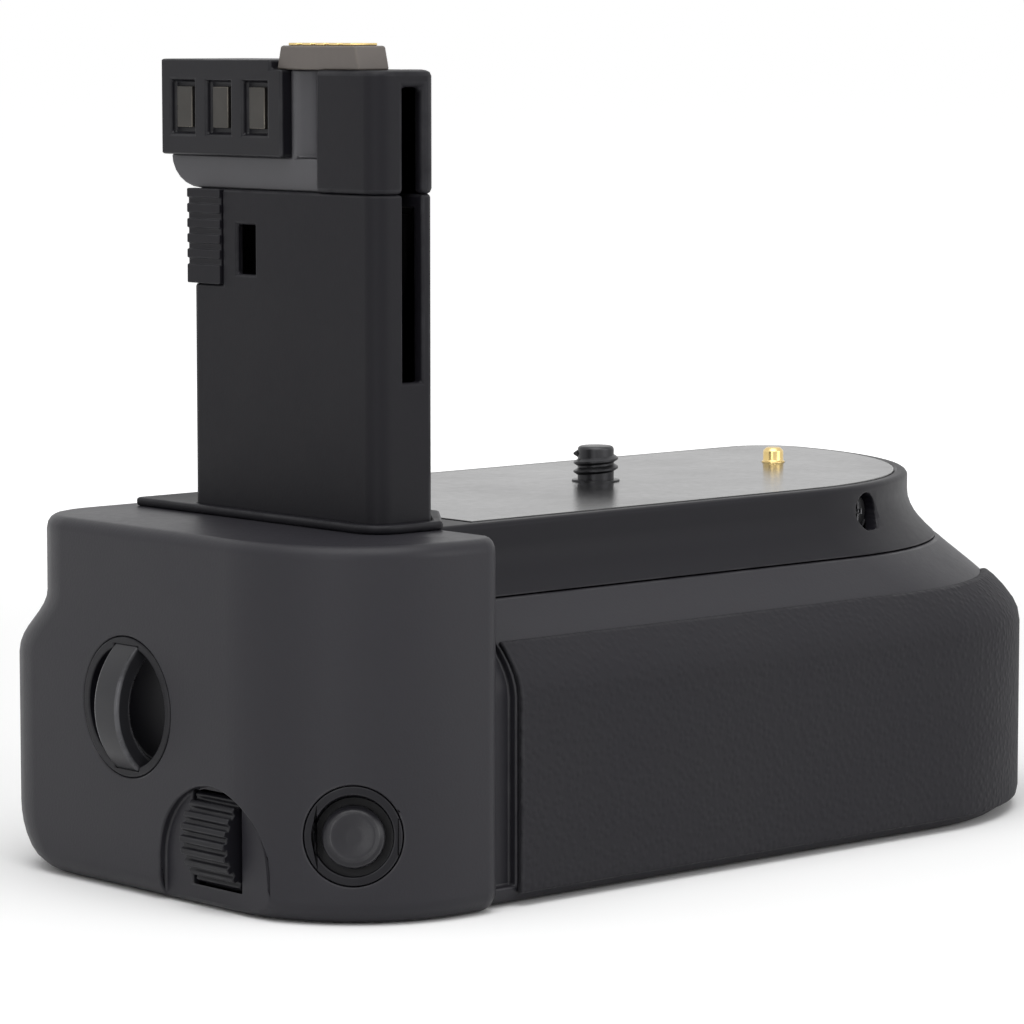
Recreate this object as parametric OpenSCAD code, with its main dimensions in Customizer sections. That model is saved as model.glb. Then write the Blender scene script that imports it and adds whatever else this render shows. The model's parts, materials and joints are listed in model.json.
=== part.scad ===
// Battery grip for a single-lens reflex camera.
// Origin: mouth of the tripod socket, under the mounting screw. +X runs to the tray end,
// -Y is the front, +Z is up towards the camera. Millimetres.

/* [Body] */
// Screw axis to the front wall of the main housing
front_reach = 42.5; // [40:0.5:48]
// Screw axis to the back wall of the main housing
back_reach = 27; // [26:0.25:32]
// Height of the platform that meets the camera
platform_z = 48; // [47:0.25:52]
// Wall of the main housing and top cover
wall = 2.2; // [1.6:0.1:2.6]
// Rounding of the bottom edge
base_r = 3; // [1:0.25:4]
// Plan radius of the front corner at the tray end
far_corner_r = 37; // [25:1:40]
// Plan radius of the same corner at the platform
far_corner_top_r = 46; // [30:1:50]
// Plan radius of the back corner at the tray end
far_back_r = 8; // [4:0.5:9]
// How far the front shoulder steps back
front_step = 12.5; // [8:0.5:14]
// How far the tray end steps back
far_step = 3.6; // [2:0.1:8]
// Height where the shoulder starts
shoulder_z = 27; // [25:0.5:30]
// Height where the shoulder ends
shoulder_top_z = 45; // [42:0.5:46]
// Height of the seam between main housing and top cover
seam_z = 38.5; // [37.5:0.25:40]
// Thickness of the platform
plate_t = 2; // [1.5:0.1:2.2]
// Thickness of the plate let into the platform
deck_t = 0.6; // [0.4:0.1:0.8]
// How far that plate stands proud
deck_proud = 0.1; // [0.05:0.05:0.2]
// Rounding of the platform edge
plate_edge_r = 0.8; // [0.4:0.1:1.2]
// Gap at a seam between two shells
seam_gap = 0.2; // [0.1:0.05:0.4]
// Thickness of the front rubber
pad_t = 1; // [0.6:0.1:1.4]
// Height of the front rubber's upper edge
pad_top_z = 33.8; // [30:0.2:36]
// Height of the front rubber's lower edge
pad_low_z = 1.6; // [1.4:0.1:8]
// Width of the groove between hand-grip end and front rubber
groove_w = 3.4; // [2:0.1:4]
// Depth of that groove
groove_depth = 1.3; // [0.5:0.1:1.5]
// Glue line behind a rubber skin
glue = 0.05; // [0.03:0.01:0.1]

/* [Hand-grip end] */
// Screw axis to the seam with the main housing
grip_seam = 57; // [54:0.25:62]
// Length of the hand-grip end along X
grip_len = 28; // [26:0.25:34]
// Screw axis to the front of the hand-grip end
grip_front = 44.5; // [43:0.25:47]
// Screw axis to the back of the thumb bulge
bulge_back = 28.5; // [28:0.25:33]
// How far the back steps in above the bulge
bulge_step = 6.5; // [2:0.25:7.5]
// Height where the bulge ends
bulge_z = 29; // [28:0.5:31]
// Height over which the bulge fades
bulge_fade = 9; // [6:0.5:11]
// Plan radius of the front corner
grip_corner_r = 22; // [18:0.5:24]
// Plan radius of the back corner
grip_back_r = 10; // [7:0.5:11]
// Plan radius beside the seam
grip_rim_r = 3; // [1.5:0.25:3.5]
// Wall of the hand-grip end
grip_wall = 2.6; // [2.2:0.1:3]
// Rounding of the bottom edge of the hand-grip end
grip_base_r = 3; // [2:0.25:4.5]
// Rounding of its top edge
grip_top_r = 1.8; // [0.5:0.1:2]
// Rounding under the thumb bulge
bulge_base_r = 9; // [6:0.5:10]
// Thickness of the bulkhead
bulkhead_t = 2; // [1.6:0.1:2.4]

/* [Stem] */
// Seam of the hand-grip end to the outer side of the stem
stem_out = 9.9; // [8:0.1:10.9]
// Stem width along X
stem_w = 16; // [14:0.5:17]
// Screw axis to the front of the stem
stem_front = 31; // [29:0.25:32]
// Stem depth along Y
stem_d = 38; // [35:0.5:39]
// Stem wall
stem_wall = 1.8; // [1.4:0.1:2.2]
// Rounding of the stem's front edge
stem_edge_r = 2.5; // [1:0.25:3]
// Cut across the stem's inner front corner, along X
stem_cut_x = 7; // [4:0.5:8]
// Cut across the stem's inner front corner, along Y
stem_cut_y = 9; // [5:0.5:10]
// Top of the stem column
column_top = 91; // [85:0.5:95]
// Height of the stem head above the column
head_h = 15.7; // [13:0.1:20]
// How far the head stands proud of the column
head_proud = 0.2; // [0.2:0.1:0.8]
// Depth of the head along Y
head_d = 12; // [10.5:0.5:13]
// Height of the terminal block
block_h = 12.6; // [10:0.1:12.8]
// How far the terminal block stands above the head
block_rise = 1.3; // [0.5:0.1:2]
// Length of the terminal block along Y
block_d = 25.2; // [20:0.2:28]
// Depth of the terminal carrier between head and block
carrier_d = 6.5; // [5:0.25:8]
// Height of the contact block on top
contact_h = 3.1; // [2:0.1:4]
// Height of the collar round the stem
collar_h = 1.2; // [0.8:0.1:2]
// How far the collar reaches behind the stem
collar_tail = 10.5; // [4:0.5:11]
// Width of the key slot in the stem's front
key_w = 3.2; // [2:0.1:3.4]
// Lower end of the key slot
key_low = 67; // [60:0.5:80]

/* [Mounting drive] */
// Radius of the mounting screw
screw_r = 3.175; // [3:0.005:3.3]
// Length of the mounting screw above the platform
screw_len = 5; // [4:0.1:6]
// Radial clearance of a turning fit
run_gap = 0.05; // [0.02:0.01:0.08]
// Gear module
gear_m = 0.8; // [0.76:0.02:0.82]
// Teeth of the screw gear
screw_teeth = 29; // [28:1:30]
// Teeth of the wheel gear
wheel_teeth = 14; // [13:1:15]
// Gear face width
gear_w = 4; // [3:0.25:4.5]
// Thumbwheel radius
wheel_r = 11.6; // [11:0.1:12]
// Thumbwheel rim thickness
wheel_t = 3; // [2:0.25:3.2]
// Notches round the thumbwheel
wheel_notches = 40; // [24:1:48]
// Radius of the wheel axle
wheel_axle_r = 2; // [1.5:0.1:2.5]
// Radius of the locating pin
locator_r = 1.5; // [1:0.1:2]
// Height of the locating pin
locator_h = 2.2; // [1:0.1:4]
// Locating pin along X from the screw
locator_x = 38.5; // [30:0.5:42]
// Radius of the tripod socket
socket_r = 3.2; // [3:0.05:3.3]
// Depth of the tripod socket
socket_depth = 5.4; // [4.5:0.1:5.5]

/* [Controls] */
// Height of the shutter button
shutter_z = 11.5; // [10.5:0.25:14]
// Radius of the shutter cup
shutter_cup_r = 6.2; // [5.5:0.1:6.5]
// Direction of the shutter button in plan, degrees
shutter_turn = 228; // [222:1:234]
// Upward tilt of the shutter button, degrees
shutter_tilt = 12; // [4:1:14]
// Travel of a push button
press = 0.8; // [0.4:0.05:0.85]
// Radius of the command dial
dial_r = 7; // [6:0.1:7.2]
// Width of the command dial
dial_w = 9; // [7:0.25:9.5]
// How far the command dial stands out of the end
dial_proud = 1.4; // [0.5:0.1:2]
// Height of the dial's axis
dial_z = 9; // [8.8:0.1:10]
// Dial centre in front of the screw axis
dial_front = 19; // [17:0.25:20]
// Notches round the dial
dial_notches = 26; // [18:1:32]
// Height of the strap bar's middle
strap_z = 24.4; // [23.5:0.1:28]
// Width of the strap bar
strap_w = 5; // [4:0.25:6]
// Half width of the strap recess
strap_recess_r = 8; // [7.5:0.1:9]
// Depth of the strap recess
strap_depth = 5.8; // [5.6:0.1:7]
// Radius of a rear button
rear_button_r = 2.4; // [1.8:0.1:2.6]
// Height of the rear buttons
rear_button_z = 22; // [21:0.25:24]
// Radius of the power lever
lever_r = 5; // [4:0.25:6]

/* [Battery tray] */
// Length of a battery pack
pack_l = 53; // [48:0.25:60]
// Width of a battery pack
pack_w = 37; // [34:0.25:38]
// Height of a battery pack
pack_h = 20; // [16:0.25:20.5]
// Wall of the tray
tray_wall = 1.3; // [1:0.1:1.6]
// Tray centre along Y
tray_y = -3.5; // [-4.5:0.25:-3]
// Underside of the tray
tray_z = 6.6; // [6.4:0.05:7]
// Clearance of the tray in its bay
tray_gap = 0.4; // [0.2:0.05:0.6]
// Thickness of the tray's end cap
end_cap_t = 7.4; // [6.5:0.1:10]
// Radius of the lock knob
knob_r = 7.2; // [5:0.1:8]

/* [Hidden] */
$fn = 64;
shell_black = [0.16, 0.16, 0.17];
deep_black = [0.08, 0.08, 0.085];
rubber_black = [0.13, 0.13, 0.135];
light_grey = [0.42, 0.42, 0.44];
steel = [0.62, 0.63, 0.65];
gold = [0.78, 0.62, 0.32];
board_green = [0.1, 0.3, 0.2];
// Steps on a large corner, a small corner and the shoulder
big_steps = 20;
small_steps = 6;
shoulder_steps = 8;
edge_steps = 4;
over = 10;
eps = 0.02;

// Main housing
left_x = -grip_seam;

// Hand-grip end
grip_right = -grip_seam - seam_gap;
grip_left = -grip_seam - grip_len;
grip_centre = [grip_left + grip_corner_r, -grip_front + grip_corner_r];

// Stem
stem_x0 = -grip_seam - stem_out;
stem_x1 = stem_x0 + stem_w;
stem_y0 = -stem_front;
stem_y1 = stem_y0 + stem_d;
stem_foot_t = 2;
stem_foot_z = platform_z - grip_wall - 0.1 - stem_foot_t;
neck_x = [stem_x0 + 3, stem_x1 - 3];
neck_y = [stem_y0 + 6, stem_y1 - 3];
head_top = column_top + head_h;
block_top = head_top + block_rise;
block_low = block_top - block_h;
head_y1 = stem_y0 + head_d;
carrier_y1 = head_y1 + carrier_d;
block_y1 = carrier_y1 + block_d;
key_x = stem_x0 + 4.4;
key_depth = 6;

// Drive, from the chassis upwards
chassis_z = 30;
chassis_t = 2;
chassis_top = chassis_z + chassis_t;
ceiling_z = platform_z - plate_t;
gear_z = chassis_top + 5.2;
wheel_z = gear_z + gear_w + 1;
gear_centres = gear_m * (screw_teeth + wheel_teeth) / 2;
journal_r = 2.5;
seat_r = 3;
flange_r = 4.6;
flange_t = 1.6;
shank_extra = 0.2;
locator_y = 2.7;
deck_top = platform_z + deck_proud;
deck_rim = 2;
collar_rim = 1.6;

// Battery tray
tray_floor_t = 1.4;
tray_divider = 1.4;
fit = 0.2;
tray_x0 = left_x + 1.2;
bay_x0 = tray_x0 + tray_wall;
bay_x1 = bay_x0 + 2 * pack_l + tray_divider + 4 * fit;
tray_x1 = bay_x1 + tray_wall;
tray_w = pack_w + 2 * fit + 2 * tray_wall;
tray_y0 = tray_y - tray_w / 2;
tray_y1 = tray_y + tray_w / 2;
pack_z = tray_z + tray_floor_t + fit / 2;
tray_top = pack_z + pack_h - 4.6;
tongue_t = 1.2;
bay_top = chassis_z - 0.6;
tongue_half = (bay_top - tray_z) / 2 + 2;
cap_x0 = tray_x1 + tongue_t + 2 * fit;
far_reach = cap_x0 + end_cap_t;
lock_z = (tray_z + bay_top) / 2;
knob_depth = 2.4;
contact_pad = [3, 5];
contact_spread = 9;
contact_rows = [-contact_spread, 0, contact_spread];
rail_w = 2.8;

// Points of an arc about c
function arc(c, r, a0, a1, n) =
    [for (i = [0 : n]) c + r * [cos(a0 + (a1 - a0) * i / max(n, 1)), sin(a0 + (a1 - a0) * i / max(n, 1))]];

// Rises from 0 to 1, level at both ends
function ease(t) = t <= 0 ? 0 : t >= 1 ? 1 : (1 - cos(180 * t)) / 2;

// Lifts a plan outline to height z
function lift(outline, z) = [for (p = outline) [p.x, p.y, z]];

// How far a quarter-round edge of radius r is drawn in at height h above its end
function drawn_in(h, r) = h >= r ? 0 : r - sqrt(r * r - pow(r - h, 2));

// Heights that follow a quarter-round edge from its end
function edge_heights(r) = [for (i = [0 : edge_steps - 1]) r * (1 - cos(90 * i / edge_steps))];

// Main body outline at height z, grown outwards by g; edge is drawn in at the bottom and the platform
function body_outline(z, g, edge) =
    let (f = ease((z - shoulder_z) / (shoulder_top_z - shoulder_z)),
        e = edge ? drawn_in(z, base_r) + drawn_in(platform_z - z, plate_edge_r) : 0,
        x1 = far_reach - far_step * f + g - e,
        y0 = -front_reach + front_step * f - g + e,
        y1 = back_reach - f + g - e,
        rf = far_corner_r + (far_corner_top_r - far_corner_r) * f + g - e,
        rb = far_back_r + g - e)
    concat([[left_x - (g < 0 ? over : 0), y0]],
        arc([x1 - rf, y0 + rf], rf, -90, 0, big_steps),
        arc([x1 - rb, y1 - rb], rb, 0, 90, small_steps),
        [[left_x - (g < 0 ? over : 0), y1]]);

// Hand-grip outline at height z, grown outwards by g
function grip_outline(z, g, edge) =
    let (e = edge ? drawn_in(z, grip_base_r) + drawn_in(platform_z - z, grip_top_r) : 0,
        x0 = grip_left - g + e,
        x1 = grip_right + (g < 0 ? over : 0),
        y0 = -grip_front - g + e,
        y1 = bulge_back - bulge_step * ease((z - bulge_z) / bulge_fade) - drawn_in(z, bulge_base_r) + g
            - (edge ? drawn_in(platform_z - z, grip_top_r) : 0),
        rl = grip_corner_r + g - e,
        rb = grip_back_r + g - e,
        rr = grip_rim_r)
    concat(arc([x0 + rl, y0 + rl], rl, 180, 270, big_steps),
        arc([x1 - rr, y0 + rr], rr, 270, 360, small_steps),
        arc([x1 - rr, y1 - rr], rr, 0, 90, small_steps),
        arc([x0 + rb, y1 - rb], rb, 90, 180, small_steps));

// Solid through a stack of outlines, lowest first
module loft(rings) {
    n = len(rings[0]);
    m = len(rings);
    polyhedron(
        points = [for (ring = rings) each ring],
        faces = concat(
            [[for (i = [0 : n - 1]) i]],
            [[for (i = [n - 1 : -1 : 0]) (m - 1) * n + i]],
            [for (j = [0 : m - 2], i = [0 : n - 1]) [j * n + i, (j + 1) * n + i, (j + 1) * n + (i + 1) % n]],
            [for (j = [0 : m - 2], i = [0 : n - 1]) [j * n + i, (j + 1) * n + (i + 1) % n,
                j * n + (i + 1) % n]]));
}

// Heights of the main body from z0 to z1 along the shoulder
function shoulder_heights(z0, z1) = [for (i = [0 : shoulder_steps]) z0 + (z1 - z0) * i / shoulder_steps];

// Outside of the main housing, grown by g
module housing_solid(g) {
    heights = concat(edge_heights(base_r), [base_r], shoulder_heights(shoulder_z, seam_z));
    loft([for (z = heights) lift(body_outline(z, g, true), z)]);
}

// Inside of the main housing
module housing_hollow() {
    heights = concat([wall], shoulder_heights(shoulder_z, seam_z + 1));
    loft([for (z = heights) lift(body_outline(z, -wall, false), z)]);
}

// Heights from z0 up the rounding under the thumb bulge
function base_heights(z0) = [for (i = [0 : edge_steps]) z0 + (bulge_base_r - z0) * i / edge_steps];

// Outside of the hand-grip end
module grip_solid() {
    low = concat(edge_heights(grip_base_r), base_heights(grip_base_r));
    bulge = [for (i = [0 : shoulder_steps]) bulge_z + bulge_fade * i / shoulder_steps];
    top = [for (h = edge_heights(grip_top_r)) platform_z - h];
    high = [for (i = [len(top) - 1 : -1 : 0]) top[i]];
    heights = concat(low, bulge, [platform_z - grip_top_r], high);
    loft([for (z = heights) lift(grip_outline(z, 0, true), z)]);
}

// Inside of the hand-grip end
module grip_hollow() {
    bulge = [for (i = [0 : shoulder_steps]) bulge_z + bulge_fade * i / shoulder_steps];
    heights = concat(base_heights(grip_wall), bulge, [platform_z - grip_wall]);
    loft([for (z = heights) lift(grip_outline(z, -grip_wall, false), z)]);
}

// Box between two corners
module span(low, high) {
    translate(low) cube(high - low);
}

// Cylinder along +X from x0 to x1
module bar_x(x0, x1, r) {
    translate([x0, 0, 0]) rotate([0, 90, 0]) cylinder(r = r, h = x1 - x0);
}

// Cylinder along +Y from y0 to y1
module bar_y(y0, y1, r) {
    translate([0, y1, 0]) rotate([90, 0, 0]) cylinder(r = r, h = y1 - y0);
}

// Round outline with notches
module notched(r, count, depth) {
    step = 360 / count;
    polygon([for (i = [0 : count - 1], k = [[0, r], [0.45, r], [0.55, r - depth], [0.9, r - depth]])
        let (a = (i + k[0] - 0.225) * step) k[1] * [cos(a), sin(a)]]);
}

// Gear outline with one tooth on +X, or a gap there when offset by half a tooth
module gear_outline(teeth, offset) {
    r = gear_m * teeth / 2;
    step = 360 / teeth;
    profile = [[-0.27, -1], [-0.19, 0], [-0.09, 0.7], [0.09, 0.7], [0.19, 0], [0.27, -1]];
    polygon([for (i = [0 : teeth - 1], p = profile)
        let (a = (i + offset + p[0]) * step, q = r + gear_m * p[1]) q * [cos(a), sin(a)]]);
}

// Post that carries the chassis plate, at each of four places
post_in = 6.2;
post_x = [left_x + 7, far_reach - 40, far_reach - 20];
post_y = [-front_reach + 9.5, back_reach - post_in];
chassis_posts = [[post_x[0], post_y[0]], [post_x[1], post_y[0]], [post_x[0], post_y[1]],
    [post_x[2], post_y[1]]];
post_r = 2.8;
chassis_screw_r = 1.2;

// Screws through the front skirt and the back skirt: along X and height
skirt_screw_in = 38.5;
skirt_screw_x = far_reach - skirt_screw_in;
skirt_screw_z = 44;
skirt_screw_r = 2.3;

// Bosses of the hand-grip end that take the case screws: along Y and height
grip_bosses = [[-grip_front + grip_wall + 2, 38], [-grip_front + grip_wall + 2, 20],
    [bulge_back - bulge_step - grip_wall - 2, 41.5], [bulge_back - grip_wall - 2.3, 8]];
boss_r = 2.6;
boss_len = 6;
case_screw_r = 1.1;
case_head_r = 1.9;
case_head_t = 1;

// Slot in the back skirt that shows the thumbwheel
wheel_slot_half = 10.4;
wheel_clear = 0.4;

// Outline of the stem in plan, grown outwards by g
stem_back_r = 1.5;
function stem_outline(g) = concat(
    arc([stem_x0 + stem_edge_r, stem_y0 + stem_edge_r], stem_edge_r + g, 180, 270, small_steps),
    [[stem_x1 - stem_cut_x + 0.4 * g, stem_y0 - g], [stem_x1 + g, stem_y0 + stem_cut_y - 0.5 * g]],
    arc([stem_x1 - stem_back_r, stem_y1 - stem_back_r], stem_back_r + max(g, -1), 0, 90, small_steps),
    arc([stem_x0 + stem_back_r, stem_y1 - stem_back_r], stem_back_r + max(g, -1), 90, 180, small_steps));

// Frame of the shutter button, +Z pointing out of the body
module at_shutter() {
    place = grip_centre + grip_corner_r * [cos(shutter_turn), sin(shutter_turn)];
    translate([place.x, place.y, shutter_z]) rotate([0, 90 - shutter_tilt, shutter_turn]) children();
}
cup_wall = 1.1;
cup_floor = -3.4;
cup_partition = 2.2;
cup_end = -9.4;
shutter_stem_r = 3;
switch_t = 1.8;
plunger_gap = 0.95;

// Frame of the dial, +Y along its axis
dial_x = grip_left - dial_proud + dial_r;
dial_clear = 0.5;
dial_axle_r = 1.5;
cheek_t = 1.4;
cheek_lip = 1.1;
bracket_half = 3;
bracket_arm = 4;
web_t = 1.5;
scoop_r = 10.5;
scoop_depth = 1.2;
module at_dial() {
    translate([dial_x, -dial_front, dial_z]) children();
}

// Strap recess, bar and cup
strap_y = -1.8;
strap_cup_t = 1.2;
strap_arch_r = 11;
strap_leg = 4;
strap_bar_t = 2.4;
strap_bulge = 3.5;
module at_strap() {
    translate([grip_left, strap_y, strap_z]) children();
}
module strap_arch(gap) {
    arch_x = strap_arch_r - strap_bulge;
    half = strap_recess_r + strap_cup_t - 0.3;
    intersection() {
        translate([arch_x, 0, 0]) difference() {
            bar_y(-strap_w / 2 - gap, strap_w / 2 + gap, strap_arch_r + gap);
            bar_y(-over, over, strap_arch_r - strap_bar_t - gap);
        }
        span([-over, -over, -half - gap], [strap_leg + gap, over, half + gap]);
    }
}

// Rear buttons along X
rear_button_in = 7.8;
rear_button_pitch = 7.2;
rear_buttons = [grip_right - rear_button_in - rear_button_pitch, grip_right - rear_button_in];
rear_flange_r = rear_button_r + 0.8;
rear_flange_t = 1.6;
rear_inner = bulge_back - grip_wall;
rear_flange_y = rear_inner - fit - rear_flange_t;
rear_switch_y = rear_flange_y - plunger_gap;
rear_board_t = 1.6;
rear_board_y = rear_switch_y - 1;
rear_posts_z = [rear_button_z - 5.5, rear_button_z + 5.5];
rear_mid_x = (rear_buttons[0] + rear_buttons[1]) / 2;

// Power lever
lever_in = 19;
lever_x = left_x + lever_in;
lever_z = 16;
lever_shaft_r = 2;
lever_t = 1.7;

// Tripod plate and bush
tripod_plate_t = 1.4;
tripod_half = [26, 16];
bush_r = 5.5;
bush_h = 6;
plate_screw_in = 4;
plate_screws = [for (sx = [-1, 1], sy = [-1, 1])
    [sx * (tripod_half.x - plate_screw_in), sy * (tripod_half.y - plate_screw_in)]];

module main_housing() color(shell_black) {
    difference() {
        union() {
            difference() {
                housing_solid(0);
                housing_hollow();
            }
            for (p = chassis_posts)
                translate([p.x, p.y, wall - eps]) cylinder(r = post_r, h = chassis_z - wall + eps);
            lock_strikes();
            end_cheek(wall - eps, seam_z);
        }
        span([cap_x0 - 4, tray_y0 - tray_gap, tray_z - tray_gap],
            [far_reach + over, tray_y1 + tray_gap, bay_top]);
        translate([0, 0, -1]) cylinder(r = bush_r + fit / 2, h = wall + 2);
        translate([0, 0, -1]) linear_extrude(1 + tripod_plate_t + eps)
            square(2 * (tripod_half + [fit, fit]), center = true);
        for (p = plate_screws)
            translate([p.x, p.y, 0]) cylinder(r = case_screw_r + run_gap, h = wall + 1);
        for (p = chassis_posts)
            translate([p.x, p.y, chassis_z - 9]) cylinder(r = chassis_screw_r + run_gap, h = over);
        translate([lever_x, 0, lever_z])
            bar_y(back_reach - wall - 1, back_reach + 1, lever_shaft_r + run_gap);
        front_groove();
    }
}

// Closes the end beside the hand grip's narrower back, clear of the tray
cheek_side = 0.5;
module end_cheek(low, high) {
    span([left_x, tray_y1 + tray_gap + cheek_side, low], [left_x + wall, back_reach - wall + eps, high]);
}

// Upright groove beside the front rubber, following the shoulder
module front_groove() {
    intersection() {
        difference() {
            housing_solid(over);
            housing_solid(-groove_depth);
        }
        span([left_x - 1, -front_reach - over, pad_low_z + 1], [left_x + groove_w, 0, pad_top_z]);
    }
}

// Ribs above and below the tray mouth that the lock tongue turns behind
strike_half = 4;
strike_h = 3.5;
module lock_strikes() {
    x0 = cap_x0 + 0.1;
    x1 = far_reach - wall + 0.4;
    intersection() {
        housing_solid(-0.5);
        union() {
            span([x0, tray_y - strike_half, bay_top], [x1, tray_y + strike_half, bay_top + strike_h]);
            span([x0, tray_y - strike_half, wall - eps], [x1, tray_y + strike_half, tray_z - tray_gap]);
        }
    }
}

module top_cover() color(deep_black) {
    top = [for (h = edge_heights(plate_edge_r)) platform_z - h];
    low = shoulder_heights(seam_z + seam_gap, platform_z - plate_edge_r);
    heights = concat(low, [for (i = [len(top) - 1 : -1 : 0]) top[i]]);
    inner = shoulder_heights(seam_z - 1, ceiling_z);
    difference() {
        union() {
            difference() {
                loft([for (z = heights) lift(body_outline(z, 0, true), z)]);
                loft([for (z = inner) lift(body_outline(z, -wall, false), z)]);
            }
            at_skirt_screws() skirt_boss();
            end_cheek(seam_z + seam_gap, ceiling_z + eps);
        }
        span([left_x - over, neck_y[0] - fit, ceiling_z - 1],
            [neck_x[1] + fit, neck_y[1] + fit, platform_z + 1]);
        deck_holes();
        translate([0, 0, deck_top - deck_t]) linear_extrude(over) deck_outline(fit);
        span([-wheel_slot_half, gear_centres, wheel_z - wheel_clear],
            [wheel_slot_half, back_reach + over, wheel_z + wheel_t + wheel_clear]);
        at_skirt_screws() skirt_bore();
    }
}

// Outline of the plate in the platform, grown by g
module deck_outline(g) {
    x0 = stem_x1 + collar_rim + 1 - g;
    intersection() {
        polygon(body_outline(platform_z, g - deck_rim, false));
        translate([x0, -front_reach]) square([far_reach - x0, front_reach + back_reach]);
    }
}

// Holes for the mounting screw and the locating pin
module deck_holes() {
    cylinder(r = screw_r + shank_extra + run_gap, h = platform_z + over);
    translate([locator_x, locator_y, 0])
        cylinder(r = locator_r + shank_extra + run_gap, h = platform_z + over);
}

module platform_plate() color(deep_black) {
    difference() {
        translate([0, 0, deck_top - deck_t]) linear_extrude(deck_t) deck_outline(0);
        deck_holes();
    }
}

// Places the screws of the skirt, each with +Y pointing into the body
skirt_back_in = 24;
skirt_back_x = far_reach - skirt_back_in;
skirt_head_depth = 1.6;
module at_skirt_screws() {
    outline = body_outline(skirt_screw_z, 0, false);
    arc_start = outline[1];
    arc_end = outline[1 + big_steps];
    corner_r = arc_end.y - arc_start.y;
    dx = max(0, skirt_screw_x - arc_start.x);
    translate([skirt_screw_x, arc_start.y + corner_r - sqrt(corner_r * corner_r - dx * dx), skirt_screw_z])
        rotate([0, 0, asin(dx / corner_r)]) children();
    translate([skirt_back_x, back_reach - 1, skirt_screw_z]) rotate([0, 0, 180]) children();
}
module skirt_boss() {
    bar_y(wall / 2 + 0.5, wall + 4, skirt_screw_r + 1);
}
module skirt_bore() {
    bar_y(-1, skirt_head_depth + 1.2, skirt_screw_r + 0.4);
    bar_y(-1, over, case_screw_r + run_gap);
}
module skirt_screws() color(steel) {
    at_skirt_screws() {
        difference() {
            bar_y(skirt_head_depth, skirt_head_depth + 1.2, skirt_screw_r);
            span([-0.3, 0, -1.3], [0.3, skirt_head_depth + 0.5, 1.3]);
            span([-1.3, 0, -0.3], [1.3, skirt_head_depth + 0.5, 0.3]);
        }
        bar_y(skirt_head_depth + 1.2 - eps, wall + 3.6, case_screw_r);
    }
}

module grip_end_cover() color(shell_black) {
    difference() {
        union() {
            difference() {
                grip_solid();
                grip_hollow();
            }
            for (b = grip_bosses)
                translate([0, b.x, b.y])
                    bar_x(grip_right - bulkhead_t - boss_len, grip_right - bulkhead_t, boss_r);
            for (z = rear_posts_z)
                translate([rear_mid_x, 0, z]) bar_y(rear_board_y, rear_inner + 1, 1.5);
        }
        span([neck_x[0] - fit, neck_y[0] - fit, platform_z - grip_wall - 1],
            [grip_right + over, neck_y[1] + fit, platform_z + 1]);
        at_shutter() translate([0, 0, -over]) cylinder(r = shutter_cup_r + fit / 2, h = 2 * over);
        dial_scoop();
        at_dial() bar_y(-dial_w / 2 - dial_clear, dial_w / 2 + dial_clear, dial_r + dial_clear);
        at_strap() bar_x(-1, grip_wall + 1, strap_recess_r + strap_cup_t + run_gap);
        for (x = rear_buttons)
            translate([x, 0, rear_button_z]) bar_y(rear_inner - 1, bulge_back + 1, rear_button_r + run_gap);
        for (b = grip_bosses)
            translate([0, b.x, b.y])
                bar_x(grip_right - bulkhead_t - boss_len + 1, grip_right, case_screw_r + run_gap);
    }
}

// Arched scoop round the dial, open at the bottom edge
scoop_z = 5.5;
module dial_scoop() {
    translate([grip_left, -dial_front, scoop_z]) {
        bar_x(-over, scoop_depth, scoop_r);
        span([-over, -scoop_r, -over], [scoop_depth, scoop_r, 0]);
    }
}

cable_hole = [14, 36];
cable_hole_r = 3;
module bulkhead() color(shell_black) {
    g = -grip_wall - fit;
    bulge = [for (i = [0 : shoulder_steps]) bulge_z + bulge_fade * i / shoulder_steps];
    heights = concat(base_heights(grip_wall + fit), bulge, [platform_z - grip_wall - fit]);
    difference() {
        intersection() {
            loft([for (z = heights) lift(grip_outline(z, g, false), z)]);
            span([grip_right - bulkhead_t, -100, 0], [grip_right, 100, platform_z]);
        }
        span([grip_right - over, neck_y[0] - foot_rim - 0.5, stem_foot_z - 0.5],
            [grip_right + over, neck_y[1] + foot_rim + 0.5, platform_z]);
        for (b = grip_bosses)
            translate([0, b.x, b.y]) {
                bar_x(grip_right - over, grip_right + 1, case_screw_r + run_gap);
                bar_x(grip_right - case_head_t - eps, grip_right + 1, case_head_r + run_gap);
            }
        translate([0, cable_hole.x, cable_hole.y]) bar_x(grip_right - over, grip_right + 1, cable_hole_r);
    }
}

module front_grip_pad() color(rubber_black) {
    intersection() {
        difference() {
            housing_solid(pad_t + glue);
            housing_solid(glue);
        }
        span([left_x + groove_w + 0.2, -front_reach - over, pad_low_z], [far_reach, tray_y0 - 3, pad_top_z]);
    }
}

// Rounded plate in the XZ plane, from y0 to y1
module rounded_xz(x0, x1, z0, z1, y0, y1, r) {
    translate([0, y1, 0]) rotate([90, 0, 0]) linear_extrude(y1 - y0)
        polygon(concat(
            arc([x0 + r, z0 + r], r, 180, 270, small_steps), arc([x1 - r, z0 + r], r, 270, 360, small_steps),
            arc([x1 - r, z1 - r], r, 0, 90, small_steps), arc([x0 + r, z1 - r], r, 90, 180, small_steps)));
}

thumb_pad_t = 0.9;
module rear_thumb_pad() color(rubber_black) {
    rounded_xz(grip_left + grip_back_r + 0.5, grip_right - grip_rim_r - 0.5, bulge_base_r + 0.2,
        rear_button_z - 5,
        bulge_back + glue, bulge_back + glue + thumb_pad_t, 2.5);
}

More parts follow.
